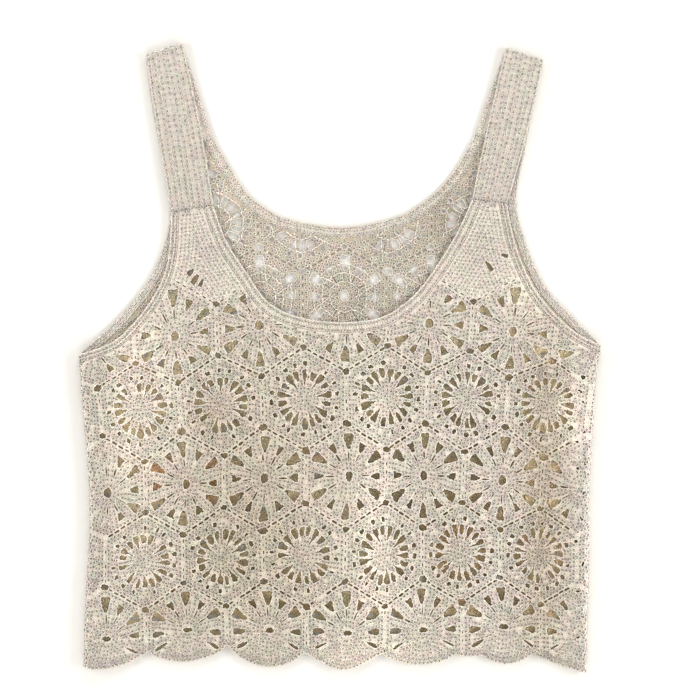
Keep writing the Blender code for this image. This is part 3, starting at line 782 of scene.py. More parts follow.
def thinStitches(kind, turn):
    # the plainer rows that show on the face that the top lies on
    if kind in ("wheel", "hem"):
        rows = ringsOf(ringRows["thinWheel"], strandsAt)
        for k in range(12):
            for sign in (-1, 1):
                places, angle = spokeRow(math.radians(15 + 30 * k), spokes["thinWheel"], 1.5 * sign)
                rows.append(strandsAt(places, angle + 0.3 * sign, 1.05, 1.9))
    else:
        rows = ringsOf(ringRows["thinBurst"], strandsAt)
        for k in range(18):
            places = spokeRow(math.radians(turn + 20 * k + 10), spokes["thinBurst"])
            rows.append(strandsAt(*places, 1.05, 1.7))
        rows += ringsOf(ringRows["thinOuter"], strandsAt)
    return np.concatenate(rows + ringsOf(ringRows["thinBorder"], strandsAt))


def fitStitches(rows, middle, corners):
    places = rows[:, :2]
    ends = places + np.stack((np.cos(rows[:, 2]), np.sin(rows[:, 2])), axis=1) * 0.5
    fitted, ahead = fitHexagon(places, middle, corners), fitHexagon(ends, middle, corners)
    way = ahead - fitted
    return np.column_stack((fitted, np.arctan2(way[:, 1], way[:, 0]), rows[:, 3:]))


def joinStitches(cells):
    # the strands that tie two hexagons together between the slits
    rows, join = [], gapShapes["join"]
    sides, _ = joinsOf(cells)
    for one, two, kinds in sides:
        if kinds.count("fan") < len(kinds):
            step = (two - one) / (join["count"] + join["spare"])
            places = np.array(slitPlaces(one, two)) + step / 2
            turn = math.atan2(*(two - one)[::-1]) + math.pi / 2
            rows.append(strandsAt(places, turn, *stitch["tie"]))
    return np.concatenate(rows)


yoke = {
    "rowPitch": 3.2, "reach": 66, "lie": (-0.64, 0.85),  # level and thickness
    "post": (0.98, 0.9), "postPitch": 2.6, "lean": 36, "loop": (0.68, 0.55, 0.05),
}


def yokeStitches(cells):
    # plain rows that follow the neckline, and the armholes where those are nearer
    lines = {"neck": partial(neckLine, "front", step=1.0)}
    for hand in straps:
        lines[hand] = partial(armLine, "front", hand, step=1.0)
    fans = [corners for kind, _, corners, _ in cells if kind == "fan"]
    pitch = yoke["rowPitch"]
    kept = []
    for name, lineAt in lines.items():
        first = edges["neckBand" if name == "neck" else "armBand"] + pitch / 2
        for width in np.arange(first, yoke["reach"], pitch):
            for rows in (rowOf("post", lineAt(width), yoke["postPitch"], yoke["post"],
                               np.radians(yoke["lean"])),
                         rowOf("loop", lineAt(width + pitch / 2), stitch["pitch"], yoke["loop"])):
                rows = rows[insideAny(rows[:, :2], fans)]
                away = {other: distanceTo(rows[:, :2], at(0.0)) for other, at in lines.items()}
                own = away.pop(name)
                kept.append(rows[own <= np.min(list(away.values()), axis=0)])
    return np.concatenate(kept)


def hemStitches():
    # two rows of loops along the edge of the hem
    line = evenLine(hemLine(), 1.0)
    return np.concatenate([loopsAt(*rowAlong(line + leftOf(line) * away))
                           for away in stitch["hemRows"]])


rim = {"out": 0.35, "pitch": 2.7, "long": 0.95, "wide": 0.8, "spread": (0.88, 1.14),
       "lie": (-0.62, 0.95), "stray": 0.12, "kept": 0.9}


def rimStitches(gaps):
    # short strands round each gap, not all of them there
    rows = []
    for gap in gaps:
        line = evenLine(closed(movedOut(gap, rim["out"])), 0.8)
        spots, turns = rowAlong(line, pitch=rim["pitch"])
        bright = chance.uniform(*rim["spread"], len(spots))
        lifts = chance.normal(0, rim["stray"], len(spots))
        ring = strandsAt(spots, turns + math.pi / 2, rim["long"], rim["wide"], lifts, bright)
        rows.append(ring[chance.random(len(ring)) < rim["kept"]])
    return np.concatenate(rows)


def fillStitches(rows, outline, closedGaps):
    # loops wherever the cloth would be bare
    low, high = outline.min(axis=0), outline.max(axis=0)
    step = stitch["fillStep"]
    spots = np.concatenate([
        paired(np.arange(low[0] + (k % 2) * step / 2, high[0], step), y)
        for k, y in enumerate(np.arange(low[1], high[1], step * stitch["fillRows"]))])
    spots += chance.normal(0, stitch["stray"], spots.shape)
    spots = spots[wellInside(spots, outline, stitch["edgeMargin"])]
    spots = spots[~insideAny(spots, closedGaps)]
    tree = KDTree(len(rows))
    for k, (x, y) in enumerate(rows[:, :2]):
        tree.insert((x, y, 0), k)
    tree.balance()
    spots = spots[[tree.find((x, y, 0))[2] > stitch["fillNear"] for x, y in spots]]
    return loopsAt(spots, chance.uniform(0, math.pi, len(spots)), *stitch["fill"])


# Meshes from many small shapes

def unitShape(bm):
    # points and triangles of a small shape, one unit long, wide and thick
    bmesh.ops.triangulate(bm, faces=bm.faces[:])
    bmesh.ops.recalc_face_normals(bm, faces=bm.faces)
    bm.verts.index_update()
    points = np.array([tuple(vert.co) for vert in bm.verts])
    faces = np.array([[vert.index for vert in face.verts] for face in bm.faces])
    bm.free()
    low, high = points.min(axis=0), points.max(axis=0)
    return (points - (low + high) / 2) / (high - low), faces


def strandShape():
    # a rounded grain along X, four-sided
    bm = bmesh.new()
    bmesh.ops.create_uvsphere(bm, u_segments=4, v_segments=3, radius=0.5)
    bmesh.ops.rotate(bm, verts=bm.verts, cent=(0, 0, 0), matrix=Matrix.Rotation(math.pi / 2, 3, "Y"))
    return unitShape(bm)


def loopShape():
    # a closed five-cornered loop of three-sided yarn
    bm = bmesh.new()
    bmesh.ops.create_circle(bm, segments=3, radius=0.5)
    bmesh.ops.scale(bm, verts=bm.verts, vec=(1.0, 1.15, 1.0))
    bmesh.ops.rotate(bm, verts=bm.verts, cent=(0, 0, 0), matrix=Matrix.Rotation(math.pi / 2, 3, "X"))
    bmesh.ops.translate(bm, verts=bm.verts, vec=(1.12, 0.0, 0.0))
    bmesh.ops.spin(bm, geom=bm.verts[:] + bm.edges[:], cent=(0, 0, 0), axis=(0, 0, 1),
                   angle=2 * math.pi, steps=5, use_merge=True)
    return unitShape(bm)


stitchShapes = (strandShape(), loopShape())


def joinedMesh(name, bag, links, tints):
    # one mesh from lists of points in millimetres, triangles and a colour for each point
    points, faces, tints = (np.concatenate(part) for part in (bag, links, tints))
    mesh = bpy.data.meshes.new(name)
    mesh.vertices.add(len(points))
    mesh.vertices.foreach_set("co", (points * mm).astype(np.float32).ravel())
    mesh.loops.add(faces.size)
    mesh.loops.foreach_set("vertex_index", faces.astype(np.int32).ravel())
    mesh.polygons.add(len(faces))
    mesh.polygons.foreach_set("loop_start", np.arange(0, faces.size, faces.shape[1], dtype=np.int32))
    mesh.update(calc_edges=True)
    mesh.validate()
    addTints(mesh, tints)
    mesh.shade_smooth()
    return mesh


def addTints(mesh, tints):
    layer = mesh.attributes.new("tint", "FLOAT_COLOR", "POINT")
    colours = np.column_stack((tints, np.ones(len(tints))))
    layer.data.foreach_set("color", colours.astype(np.float32).ravel())


tintRange = {"pink": (1.04, 0.975, 0.985), "green": (0.975, 1.015, 0.975),
             "straw": (1.04, 1.0, 0.91), "grey": (0.95, 0.945, 0.935)}


def strayTints(count, bright=1.0, spread=0.07):
    # yarn is never of quite one colour
    pick = chance.integers(0, len(tintRange), count)
    hues = np.array(list(tintRange.values()))[pick]
    return hues * (bright * chance.normal(1.0, spread, count))[:, None]


def stitchPiece(name, rows, surface, slot, lie, bright=1.0, shadeAndTone=None):
    # every stitch is a strand or a loop that lies on the surface, tilted a little
    level, thick = lie
    bag, links, tints, start = [], [], [], 0
    for kind, (shapePoints, shapeFaces) in enumerate(stitchShapes):
        some = rows[rows[:, 5] == kind]
        count, size = len(some), len(shapePoints)
        if count == 0:
            continue
        spots = some[:, :2] + chance.normal(0, stitch["stray"], (count, 2))
        turns = some[:, 2] + np.radians(chance.normal(0, stitch["strayTurn"], count))
        place, across, along, up = surfaceFrame(surface, spots)
        ahead = unit(across * np.cos(turns)[:, None] + along * np.sin(turns)[:, None])
        aside = np.cross(up, ahead)
        grown = some[:, 3:5] * chance.normal(1, stitch["straySize"], (count, 2))
        reach = shapePoints[:, :2] * grown[:, None]
        tilt = chance.normal(0, stitch["tilt"], (count, 2)) * thick / stitch["thick"]
        heights = level + some[:, 6] + chance.normal(0, stitch["strayLevel"], count)
        rise = heights[:, None] + shapePoints[:, 2] * thick + tilt @ shapePoints[:, :2].T
        points = (place[:, None] + up[:, None] * rise[..., None]
                  + ahead[:, None] * reach[..., :1] + aside[:, None] * reach[..., 1:])
        points[..., 2] = np.maximum(points[..., 2], stitch["lowest"])
        bag.append(points.reshape(-1, 3))
        faces = shapeFaces[None] + start + np.arange(count)[:, None, None] * size
        links.append(faces.reshape(-1, 3))
        tint = strayTints(count, bright) * some[:, 7:] * shadeAndToneAt(spots, shadeAndTone)
        tints.append(np.repeat(tint, size, axis=0))
        start += count * size
    return addPiece(name, joinedMesh(name, bag, links, tints), yarnCotton, slot)


ringLook = {"out": 0.45, "wide": 0.85, "stray": 0.2, "bright": 0.96, "level": 0.98, "thick": 1.5}


def ringMesh(name, gaps, surface, dark):
    # a closed strand of yarn, four-sided, round each gap; the marked ones get painted shade
    bag, links, tints, start = [], [], [], 0
    level, half, stray = ringLook["level"], ringLook["thick"] / 2, ringLook["stray"]
    for gap, dim in zip(gaps, dark):
        ring = movedOut(gap, ringLook["out"])
        count = len(ring)
        place, across, along, up = surfaceFrame(surface, ring)
        aside = unit(np.cross(up, np.roll(place, -1, axis=0) - np.roll(place, 1, axis=0)))
        wide = ringLook["wide"] * chance.uniform(1 - stray, 1 + stray)
        for u, w in ((1, 0), (0, 1), (-1, 0), (0, -1)):
            bag.append(place + aside * (u * wide / 2) + up * (level + w * half))
        here = start + np.arange(4 * count).reshape(4, count)
        above = np.roll(here, -1, axis=0)
        ahead, both = np.roll(here, -1, axis=1), np.roll(above, -1, axis=1)
        for corners in ((here, ahead, both), (here, both, above)):
            links.append(np.stack(corners, axis=-1).reshape(-1, 3))
        shade = shadeAndToneAt(gap[:1], "shaded")[0] if dim else 1.0
        tints.append(np.repeat(strayTints(1, ringLook["bright"]) * shade, 4 * count, axis=0))
        start += 4 * count
    return joinedMesh(name, bag, links, tints)


def placed(name, data):
    thing = bpy.data.objects.new(name, data)
    bpy.context.scene.collection.objects.link(thing)
    return thing


def addPiece(name, mesh, material, slot):
    print(name, len(mesh.polygons), "faces")
    piece = placed(name, mesh)
    mesh.materials.append(material)
    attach(piece, "root")
    return piece


# Materials

yarnLook = {
    # the ground is darker than the yarn as painted shade between and under the stitches
    "colour": (0.698, 0.659, 0.619), "ground": (0.624, 0.566, 0.484),
    "sockets": {"Roughness": 0.92, "Sheen Weight": 0.25, "Sheen Roughness": 0.55,
                "Specular IOR Level": 0.25},
    "fibreDepth": 0.00012, "fibreStrength": 0.6,
    # scale and detail of the fibres, the soft mottle and the stray hues, pink to green
    "fibres": (2600.0, 4.0), "mottle": (260.0, 3.0), "hue": (95.0, 2.0),
    "mottleSpots": (0.30, 0.70), "hueSpots": (0.36, 0.64),
    "hues": ((1.0, 0.958, 0.965), (0.962, 0.99, 0.955)),
}


def cottonMaterial(name, colour, mottle):
    # matt cotton: the colour of each stitch, a soft mottle, and fine fibres as bump
    material = bpy.data.materials.new(name)
    material.use_nodes = True
    nodes, links = material.node_tree.nodes, material.node_tree.links
    shader = nodes["Principled BSDF"]
    for socket, value in yarnLook["sockets"].items():
        shader.inputs[socket].default_value = value
    place = nodes.new("ShaderNodeTexCoord")
    tint = nodes.new("ShaderNodeAttribute")
    tint.attribute_name = "tint"

    def noise(look):
        node = nodes.new("ShaderNodeTexNoise")
        node.inputs["Scale"].default_value, node.inputs["Detail"].default_value = yarnLook[look]
        links.new(place.outputs["Object"], node.inputs["Vector"])
        return node.outputs["Fac"]

    def ramp(look, spots, colours):
        node = nodes.new("ShaderNodeValToRGB")
        for element, spot, colour in zip(node.color_ramp.elements, spots, colours):
            element.position, element.color = spot, (*colour, 1.0)
        links.new(noise(look), node.inputs["Fac"])
        return node.outputs["Color"]

    def times(one, two):
        node = nodes.new("ShaderNodeMix")
        node.data_type, node.blend_type = "RGBA", "MULTIPLY"
        node.inputs["Factor"].default_value = 1.0
        links.new(one, node.inputs["A"])
        links.new(two, node.inputs["B"])
        return node.outputs["Result"]

    dark = [c * (1 - mottle) for c in colour]
    light = [min(c * (1 + mottle), 1.0) for c in colour]
    mottled = times(ramp("mottle", yarnLook["mottleSpots"], (dark, light)), tint.outputs["Color"])
    stained = times(mottled, ramp("hue", yarnLook["hueSpots"], yarnLook["hues"]))
    links.new(stained, shader.inputs["Base Color"])
    bump = nodes.new("ShaderNodeBump")
    bump.inputs["Strength"].default_value = yarnLook["fibreStrength"]
    bump.inputs["Distance"].default_value = yarnLook["fibreDepth"]
    links.new(noise("fibres"), bump.inputs["Height"])
    links.new(bump.outputs["Normal"], shader.inputs["Normal"])
    return material


yarnCotton = cottonMaterial("yarnCotton", yarnLook["colour"], 0.06)
# cloth of the lace shells, bands and straps, darker as painted shade under the stitches
groundShadeCotton = cottonMaterial("groundShadeCotton", yarnLook["ground"], 0.12)


# Lace shells

shell = {
    "front": (-1.8, -0.80),  # lower and upper face, measured from the outer face
    "back": (0.45, 1.2),
    "gridStep": 8, "foldStep": 6, "foldColumns": (0.22, 0.45, 0.7, 1),
    "netMargin": 3, "netEnd": 2, "edgeMargin": 0.6, "gapMargin": 1,  # clear of loose points
    "sharpFrom": 50,  # degrees between faces that make a sharp edge
    "frontTint": (1.05, 1.05, 1.05), "backTint": (0.70, 0.67, 0.60),
    # the sliver tint darkens the back's armhole bands, seen inside the front's armholes, as painted
    # shade
    "bandTint": (1.02, 1.03, 1.05), "strapTint": (0.88, 0.88, 0.89), "sliverShadeTint": (0.73, 0.71, 0.66),
    # painted shade: the back's inner face where the front covers it is darker and browner
    "shadedTint": (0.775, 0.71, 0.52),  # the back's inner face under the front
}


# painted shade and light as soft patches, mixed with real differences of colour
shadeAndTonePatches = {  # where a side is lighter or darker: middle x and y, reach across and along, tint
    # painted shade on the back's inner face under the front, lighter and darker in patches
    "shaded": ((-190, -60, 46, 190, (1.72, 1.76, 1.88)),
               (-60, 18, 150, 26, (1.25, 1.27, 1.30)),
               (150, 20, 60, 30, (1.35, 1.36, 1.38)),
               (-148, -98, 14, 12, (1.05, 0.70, 0.48)),
               (-108, -104, 18, 20, (1.00, 0.76, 0.56)),
               (-28, -78, 22, 12, (1.02, 0.88, 0.82)),
               (60, -60, 60, 40, (0.90, 0.92, 0.84)),
               (100, -160, 40, 60, (1.04, 0.90, 0.76)),
               (-60, -200, 90, 30, (0.98, 0.92, 0.80)),
               (172, -120, 26, 130, (1.30, 1.24, 1.20))),
    # on the front: painted shade and light of the soft folds and side rolls, partly real differences
    # of colour
    "front": ((-76, -145, 54, 92, (0.89, 0.865, 0.82)),
              (28, -125, 18, 85, 1.22),
              (-174, -40, 24, 125, (1.17, 1.17, 1.16)),
              (-197, -125, 9, 115, (0.93, 0.93, 0.92)),
              (-107, 86, 20, 22, (0.88, 0.88, 0.89)),
              (118, 91, 27, 30, 0.89),
              (-72, -110, 95, 140, (0.99, 0.985, 0.95)),
              (-174, -118, 12, 14, (0.89, 0.88, 0.88)),
              (-141, -12, 15, 38, (1.14, 1.14, 1.15)),
              (-107, -52, 13, 13, (0.89, 0.86, 0.80)),
              (-150, -213, 24, 13, (0.90, 0.87, 0.83)),
              (42, -200, 24, 30, 1.11),
              (26, -52, 17, 17, 1.08),
              (92, -19, 14, 15, (1.10, 1.10, 1.11)),
              (158, 58, 18, 28, (1.14, 1.14, 1.13)),
              (158, -218, 15, 15, (0.90, 0.88, 0.84)),
              (194, -44, 16, 26, 1.24),
              (25, -252, 50, 14, (1.24, 1.24, 1.22)),
              (92, -165, 16, 62, (0.94, 0.93, 0.90)),
              # painted shade in the trough beside the right roll
              (170, -120, 20, 140, (0.82, 0.78, 0.71)),
              # painted light on the right roll
              (205, -120, 10, 160, (1.12, 1.13, 1.16))),
    # on the back: the first patch is a painted shadow cast by the front's right neckline
    "back": ((92, 112, 18, 34, (0.82, 0.80, 0.76)),
             (-28, 90, 55, 24, 1.11),
             (22, 48, 30, 14, (0.89, 0.89, 0.88)),
             (-96, 146, 30, 36, (1.14, 1.14, 1.13))),
}


# the tint at points of a side, from its patches of painted shade, light and colour
def shadeAndToneAt(points, side):
    shades = np.tile(shell["shadedTint"] if side == "shaded" else 1.0, (len(points), 1))
    for middleX, middleY, across, along, tint in shadeAndTonePatches.get(side, ()):
        far = ((points[:, 0] - middleX) / across) ** 2 + ((points[:, 1] - middleY) / along) ** 2
        shades = shades * (1 + np.exp(-far)[:, None] * (np.array(tint) - 1))
    return shades


def loosePoints(outline, gaps):
    # points inside the cloth: a net, and columns of points round the side folds
    quarter, step, margin = cloth["foldRadius"] * math.pi / 2, shell["gridStep"], shell["netMargin"]
    low, high = outline[:, 1].min() + margin, outline[:, 1].max()
    rows = []
    for k, y in enumerate(np.arange(low, high, step)):
        xs = np.arange(float(seamAt("left", y)) + quarter + margin,
                       float(seamAt("right", y)) - quarter - shell["netEnd"], step)
        rows.append(paired(xs + (k % 2) * step / 2, y))
    for y in np.arange(low, high, shell["foldStep"]):
        for share in shell["foldColumns"]:
            rows.append(paired((float(seamAt("left", y)) + quarter * share,
                                float(seamAt("right", y)) - quarter * share), y))
    points = np.concatenate(rows)
    points = points[wellInside(points, outline, shell["edgeMargin"])]
    return points[~insideAny(points, [movedOut(gap, shell["gapMargin"]) for gap in gaps])]


def twoFaced(name, bm, dropLayer):
    # a sheet grown down to its lower face, with the places of its points and which are above
    top = set(bm.verts)
    grown = bmesh.ops.extrude_face_region(bm, geom=bm.faces[:])
    for vert in grown["geom"]:
        if isinstance(vert, bmesh.types.BMVert):
            vert.co -= vert[dropLayer]
            top.discard(vert)
    bmesh.ops.recalc_face_normals(bm, faces=bm.faces)
    bm.verts.index_update()
    isTop = np.array([vert in top for vert in bm.verts])
    where = np.array([tuple(vert.co / mm) for vert in bm.verts])[:, :2]
    mesh = bpy.data.meshes.new(name)
    bm.to_mesh(mesh)
    bm.free()
    mesh.attributes.remove(mesh.attributes["drop"])
    mesh.shade_smooth()
    mesh.set_sharp_from_angle(angle=math.radians(shell["sharpFrom"]))
    return mesh, where, isTop


def laceShell(name, side, outline, gaps):
    # the cut of a panel, meshed flat round its gaps, laid in place and given two faces
    parts = [outline] + gaps
    points = np.concatenate(parts + [loosePoints(outline, gaps)])
    edgeList, start = [], 0
    for part in parts:
        count = len(part)
        edgeList += [(start + i, start + (i + 1) % count) for i in range(count)]
        start += count
    flat, _, faces, _, _, _ = delaunay_2d_cdt([tuple(p) for p in points], edgeList, [], 0, 1e-5)
    flat = np.array([tuple(p) for p in flat])
    faces = np.array(faces)
    middles = flat[faces].mean(axis=1)
    faces = faces[insideOf(middles, outline) & ~insideAny(middles, gaps)]
    place, _, _, up = surfaceFrame(surfaces[side], flat)
    low, high = shell[side]
    bm = bmesh.new()
    dropLayer = bm.verts.layers.float_vector.new("drop")
    verts = [bm.verts.new(p) for p in (place + up * high) * mm]
    for vert, drop in zip(verts, up * (high - low) * mm):
        vert[dropLayer] = drop
    for face in faces:
        bm.faces.new([verts[i] for i in face])
    bmesh.ops.delete(bm, geom=[v for v in bm.verts if not v.link_faces], context="VERTS")
    mesh, where, isTop = twoFaced(name, bm, dropLayer)
    tints = shell[side + "Tint"] * shadeAndToneAt(where, side)
    if side == "back":
        # painted shade on the upper face of the back where the front covers it
        under = isTop & coveredByFront(where)
        tints[under] = shadeAndToneAt(where[under], "shaded")
    addTints(mesh, tints)
    print(name, len(gaps), "gaps")
    return mesh


def stripShell(name, surface, columns, levels, tint):
    # a narrow band: a grid laid between lines of the cut, given two faces
    low, high = levels
    bm = bmesh.new()
    dropLayer = bm.verts.layers.float_vector.new("drop")
    steps = np.array((len(columns), len(columns[0]))) - 1
    bmesh.ops.create_grid(bm, x_segments=int(steps[0]), y_segments=int(steps[1]), size=0.5)
    spots = np.array([(vert.co.x, vert.co.y) for vert in bm.verts]) + 0.5
    column, station = np.rint(spots * steps).astype(int).T
    place, _, _, up = surfaceFrame(surface, np.array(columns)[column, station])
    for vert, spot, drop in zip(bm.verts, (place + up * high) * mm, up * (high - low) * mm):
        vert.co, vert[dropLayer] = spot, drop
    mesh, where, _ = twoFaced(name, bm, dropLayer)
    addTints(mesh, np.tile(tint, (len(where), 1)))
    return mesh


def meanWidth(gap):
    around = np.linalg.norm(gap - np.roll(gap, 1, axis=0), axis=1).sum()
    return 2 * abs(signedArea(gap)) / around


cells = {side: motifCells(side) for side in outlines}
gapsOf = {side: panelGaps(side, outlines[side], cells[side]) for side in outlines}


def isWide(gap):
    return meanWidth(gap) > gapShapes["rimFrom"]


def shownThrough(rows):
    # rows of the back that are seen through the gaps of the front
    near = [movedOut(gap, stitch["throughReach"]) for gap in gapsOf["front"] if isWide(gap)]
    return rows[insideAny(rows[:, :2], near)]


def buildPanel(side):
    outline, gaps, slot = outlines[side], gapsOf[side], side + "_cotton"
    surface, name = surfaces[side], side + "_lace"
    lace = addPiece(name, laceShell(name, side, outline, gaps), groundShadeCotton, slot)
    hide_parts(side + "_panel")
    rings = [gap for gap in gaps if isWide(gap)]
    closedGaps = [movedOut(gap, stitch["gapMargin" if isWide(gap) else "slitMargin"])
                  for gap in gaps]

    def trimmed(rows, clearOfGaps=True):
        rows = rows[wellInside(rows[:, :2], outline, stitch["edgeMargin"])]
        return rows[~insideAny(rows[:, :2], closedGaps)] if clearOfGaps else rows

    full, thin, crossing = {}, [], []
    for kind, middle, corners, turn in cells[side]:
        rows = fitStitches(motifStitches(kind, turn), middle, corners)
        full.setdefault(kind, []).append(rows)
        if side == "back":
            thin.append(fitStitches(thinStitches(kind, turn), middle, corners))
            crossing.append(fitStitches(wrongSideStitches(kind), middle, corners))
    full = {kind: trimmed(np.concatenate(sets)) for kind, sets in full.items()}
    if side == "front":
        full["fan"] = trimmed(yokeStitches(cells[side]))
    full["edge"] = np.concatenate((trimmed(joinStitches(cells[side])), trimmed(hemStitches())))
    full["fill"] = fillStitches(np.concatenate(list(full.values())), outline, closedGaps)
    made = []

    def add(part, rows, lie, bright=1.0, shadeAndTone=side):
        made.append(stitchPiece(side + part, rows, surface, slot, lie, bright, shadeAndTone))

    if side == "front":
        for kind, rows in full.items():
            add("_" + kind + "_stitches", rows, yoke["lie"] if kind == "fan" else stitch["front"])
        add("_gap_yarns", rimStitches(rings), rim["lie"])
    else:
        rows = np.concatenate(list(full.values()) + [trimmed(np.concatenate(crossing), False)])
        shown = ~wellInside(rows[:, :2], outlines["front"], stitch["innerReach"])
        shown &= rows[:, 1] > stitch["innerFrom"]
        add("_inner_stitches", rows[shown], stitch["inner"], stitch["innerBright"])
        thin = trimmed(np.concatenate(thin))
        add("_under_stitches", thin, stitch["under"], shadeAndTone=None)
        # thin rows of the back seen through the front's gaps, darkened with painted shade
        thin = shownThrough(thin[coveredByFront(thin[:, :2])])
        add("_through_stitches", thin, stitch["through"], shadeAndTone="shaded")
        # yarn round the back's gaps, darkened with painted shade under the front
        mesh = ringMesh("back_gap_yarns", rings, surface, coveredByFront(middlesOf(rings)))
        made.append(addPiece("back_gap_yarns", mesh, yarnCotton, slot))
    return lace, made, abs(signedArea(outline)) - sum(abs(signedArea(gap)) for gap in gaps)


# Edgings

edging = {
    # brightness of the stitches and tint of the cloth, by style
    "look": {"neck": (1, "frontTint"), "plain": (1.12, "bandTint"), "arm": (0.95, "frontTint"),
             # the back's armhole bands, cloth and stitches, are darker as painted shade
             "cords": (0.84, "sliverShadeTint")},
    # layers of stitches by side: end of the name, level and thickness
    "layers": {"front": (("_stitches", (-0.54, 1)),),
               "back": (("_stitches", stitch["inner"]), ("_under_stitches", stitch["under"]))},
    "shares": (0, 0.25, 0.5, 0.75, 1), "lean": 0.22, "margin": 0.4,
    # rows from the edge inwards: how far in, kind, length, width, pitch, lift
    "neck": ((0.7, "cord", 1.05, 0.95, 2.9, 0.10), (2.6, "loop", 0.74, 0.7, 2.6, 0),
             (4.7, "post", 0.85, 0.9, 2.2, -0.05), (7.1, "loop", 0.74, 0.7, 2.6, 0)),
    "plain": ((1.3, "loop", 0.72, 0.72, 2.6, 0), (3.7, "loop", 0.8, 0.78, 2.8, 0),
              (6.4, "loop", 0.8, 0.78, 2.9, 0), (7.9, "loop", 0.7, 0.7, 2.8, 0)),
    "arm": ((0.7, "cord", 1.05, 0.95, 2.9, 0.08), (2.5, "loop", 0.72, 0.6, 2.6, -0.05),
            (3.9, "cord", 1.1, 0.85, 3, 0.08), (5.4, "loop", 0.72, 0.6, 2.6, -0.05)),
    "cords": ((0.7, "cord", 1.1, 1.1, 3, 0.12), (2.1, "cord", 1.2, 1, 3.3, -0.05),
              (3.5, "cord", 1.2, 1, 3.3, 0), (5, "cord", 1.2, 1, 3.3, -0.05),
              (6, "cord", 1.1, 0.9, 3.3, 0)),
}


def buildEdging(name, side, lineAt, width, style):
    # a band along an edge: a narrow shell and the rows worked on it
    surface, slot = surfaces[side], side + "_cotton"
    columns = [lineAt(width * share, 4.0) for share in edging["shares"]]
    bright, tint = edging["look"][style]
    mesh = stripShell(name, surface, columns, shell[side], shell[tint])
    band = addPiece(name + "_cloth", mesh, groundShadeCotton, slot)
    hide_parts(name)
    rows = np.concatenate([
        rowOf(kind, lineAt(away, 1.0), pitch, (long, wide, lift), edging["lean"])
        for away, kind, long, wide, pitch, lift in edging[style] if away <= width - edging["margin"]])
    return [band] + [stitchPiece(name + tail, rows, surface, slot, lie, bright, side)
                     for tail, lie in edging["layers"][side]]


def buildSide(side):
    # a panel with its stitches, and the edgings worked round it
    print(side)
    lace, made, area = buildPanel(side)
    isFront = side == "front"
    made += buildEdging(side + "_neck_band", side, partial(neckLine, side), edges["neckBand"],
                        "neck" if isFront else "plain")
    for hand in straps:
        made += buildEdging(side + "_armhole_band_" + hand, side, partial(armLine, side, hand),
                            edges["armBand"], "arm" if isFront else "cords")
    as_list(made)


buildSide("back")
buildSide("front")


# Straps

strapLook = {
    "columns": 8, "pitch": 4.3, "lean": 0.42, "shift": 0.35,  # shift in pitches
    # length, width, lift and brightness of its stitches
    "loop": (1.12, 0.98), "pair": (0.9, 0.8, -0.22), "cord": (0.9, 0.85),
    "joint": (0.8, 0.85, 0.12, 1.05),
    "cordInset": 0.7, "jointInset": 0.1, "jointFrom": 1.4, "jointPitch": 2.6,
    "cloth": (-1.75, -0.6), "lie": (-0.35, 1), "bright": 0.92,
    "underLift": -0.40,  # stitches lie deeper where the strap rests
    "innerLift": -1.4,  # on the inner face of the lower layer
    "stations": (26, 7, 16), "lines": 21, "endGap": 0.3,  # rows of its net, and its ends
    "flatGrow": 1.05,  # flat width over the band's, for its curve
}


def strapStitches(total):
    # leaning loops in pairs of columns, strands between the pairs, a cord along both edges
    wide = strapWidth / strapLook["columns"]
    count = round(total / strapLook["pitch"])
    pitch = total / count
    halves = (np.arange(2 * count) + 0.5) * pitch / 2
    rows = []
    for column in range(strapLook["columns"]):
        lean = strapLook["lean"] if column % 2 else -strapLook["lean"]
        ys = (np.arange(count) + 0.5 + strapLook["shift"] * (column // 2 % 2 - 0.5)) * pitch
        spots = paired(wide * (column + 0.5), ys)
        rows.append(loopsAt(spots, math.pi / 2 + lean, *strapLook["loop"]))
        if column and column % 2 == 0:
            rows.append(strandsAt(paired(wide * column, halves), math.pi / 2, *strapLook["pair"]))
    for x in (strapLook["cordInset"], strapWidth - strapLook["cordInset"]):
        rows.append(strandsAt(paired(x, halves), math.pi / 2, *strapLook["cord"]))
    xs = np.arange(strapLook["jointFrom"], strapWidth, strapLook["jointPitch"])
    for y in (strapLook["jointInset"], total - strapLook["jointInset"]):
        rows.append(loopsAt(paired(xs, y), 0.0, *strapLook["joint"]))
    return np.concatenate(rows)


def buildStrap(hand):
    name = "strap_" + hand
    surface = strapSurface(hand)
    front, fold, back = strapLengths(hand)
    total = front + fold + back
    gap, counts = strapLook["endGap"], strapLook["stations"]
    stations = np.concatenate((np.linspace(gap, front, counts[0]),
                               front + np.linspace(0, fold, counts[1])[1:],
                               front + fold + np.linspace(0, back - gap, counts[2])[1:]))
    columns = [paired(x, stations) for x in np.linspace(0, strapWidth, strapLook["lines"])]
    mesh = stripShell(name, surface, columns, strapLook["cloth"], shell["strapTint"])
    band = addPiece(name + "_cloth", mesh, groundShadeCotton, "strap_cotton")
    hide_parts(name)
    outer, inner = strapStitches(total), strapStitches(total)
    outer[:, 6] += strapLook["underLift"] * ease((outer[:, 1] - front) / fold)
    inner = inner[inner[:, 1] > front + fold]
    inner[:, 6] += strapLook["innerLift"]
    made = [stitchPiece(name + "_stitches", np.concatenate((outer, inner)), surface,
                        "strap_cotton", strapLook["lie"], strapLook["bright"])]


print("straps")
for hand in straps:
    buildStrap(hand)


# Floor, light and camera

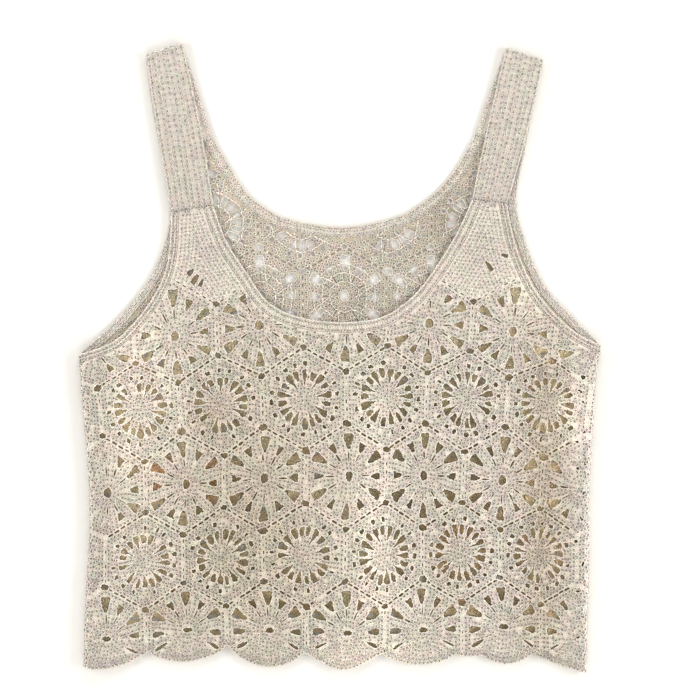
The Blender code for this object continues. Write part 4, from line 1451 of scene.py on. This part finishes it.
studio = {
    "floor": (0.74, 0.72, 0.68), "floorSize": 6,
    "lensMillimetres": 100, "sensor": 36, "fieldWidth": 0.581,
    "aimX": 0.0087, "aimY": 0.0062,
    "rise": 0.004, "clipEnd": 20,  # height of the plane that the camera is set for
    "sky": (1, 0.995, 0.985, 1), "ambient": 0.472,
    "lamps": (  # azimuth seen from above, elevation, distance, width, height, power
        (-8, 26, 1.6, 1.4, 0.4, 22), (85, 25, 1.6, 1.4, 0.4, 15.9),
        (175, 25, 1.6, 1.4, 0.4, 15.6), (265, 25, 1.6, 1.4, 0.4, 15.9)),
}


def buildStudio():
    bm = bmesh.new()
    bmesh.ops.create_grid(bm, x_segments=1, y_segments=1, size=studio["floorSize"] / 2)
    mesh = bpy.data.meshes.new("floor")
    bm.to_mesh(mesh)
    bm.free()
    floor = placed("floor", mesh)
    material = bpy.data.materials.new("paleFloor")
    material.use_nodes = True
    shader = material.node_tree.nodes["Principled BSDF"]
    shader.inputs["Base Color"].default_value = (*studio["floor"], 1.0)
    shader.inputs["Roughness"].default_value = 0.9
    mesh.materials.append(material)
    world = bpy.data.worlds.new("studio")
    world.use_nodes = True
    sky = world.node_tree.nodes["Background"]
    sky.inputs["Color"].default_value = studio["sky"]
    sky.inputs["Strength"].default_value = studio["ambient"]
    bpy.context.scene.world = world
    for k, (azimuth, elevation, distance, width, height, power) in enumerate(studio["lamps"]):
        lamp = bpy.data.lights.new("softbox" + str(k), "AREA")
        lamp.shape = "RECTANGLE"
        lamp.size, lamp.size_y = width, height
        lamp.energy = power
        holder = placed(lamp.name, lamp)
        a, e = math.radians(azimuth), math.radians(elevation)
        holder.location = (distance * math.cos(a) * math.cos(e),
                           distance * math.sin(a) * math.cos(e), distance * math.sin(e))
        holder.rotation_mode = "QUATERNION"
        holder.rotation_quaternion = holder.location.to_track_quat("Z", "Y")
    camera = bpy.data.cameras.new("camera")
    camera.lens, camera.sensor_width = studio["lensMillimetres"], studio["sensor"]
    camera.clip_end = studio["clipEnd"]
    eye = placed("camera", camera)
    distance = studio["fieldWidth"] * studio["lensMillimetres"] / studio["sensor"]
    eye.location = (studio["aimX"], studio["aimY"], distance + studio["rise"])
    bpy.context.scene.camera = eye
    bpy.context.scene.view_settings.view_transform = "Standard"


print("studio")
buildStudio()
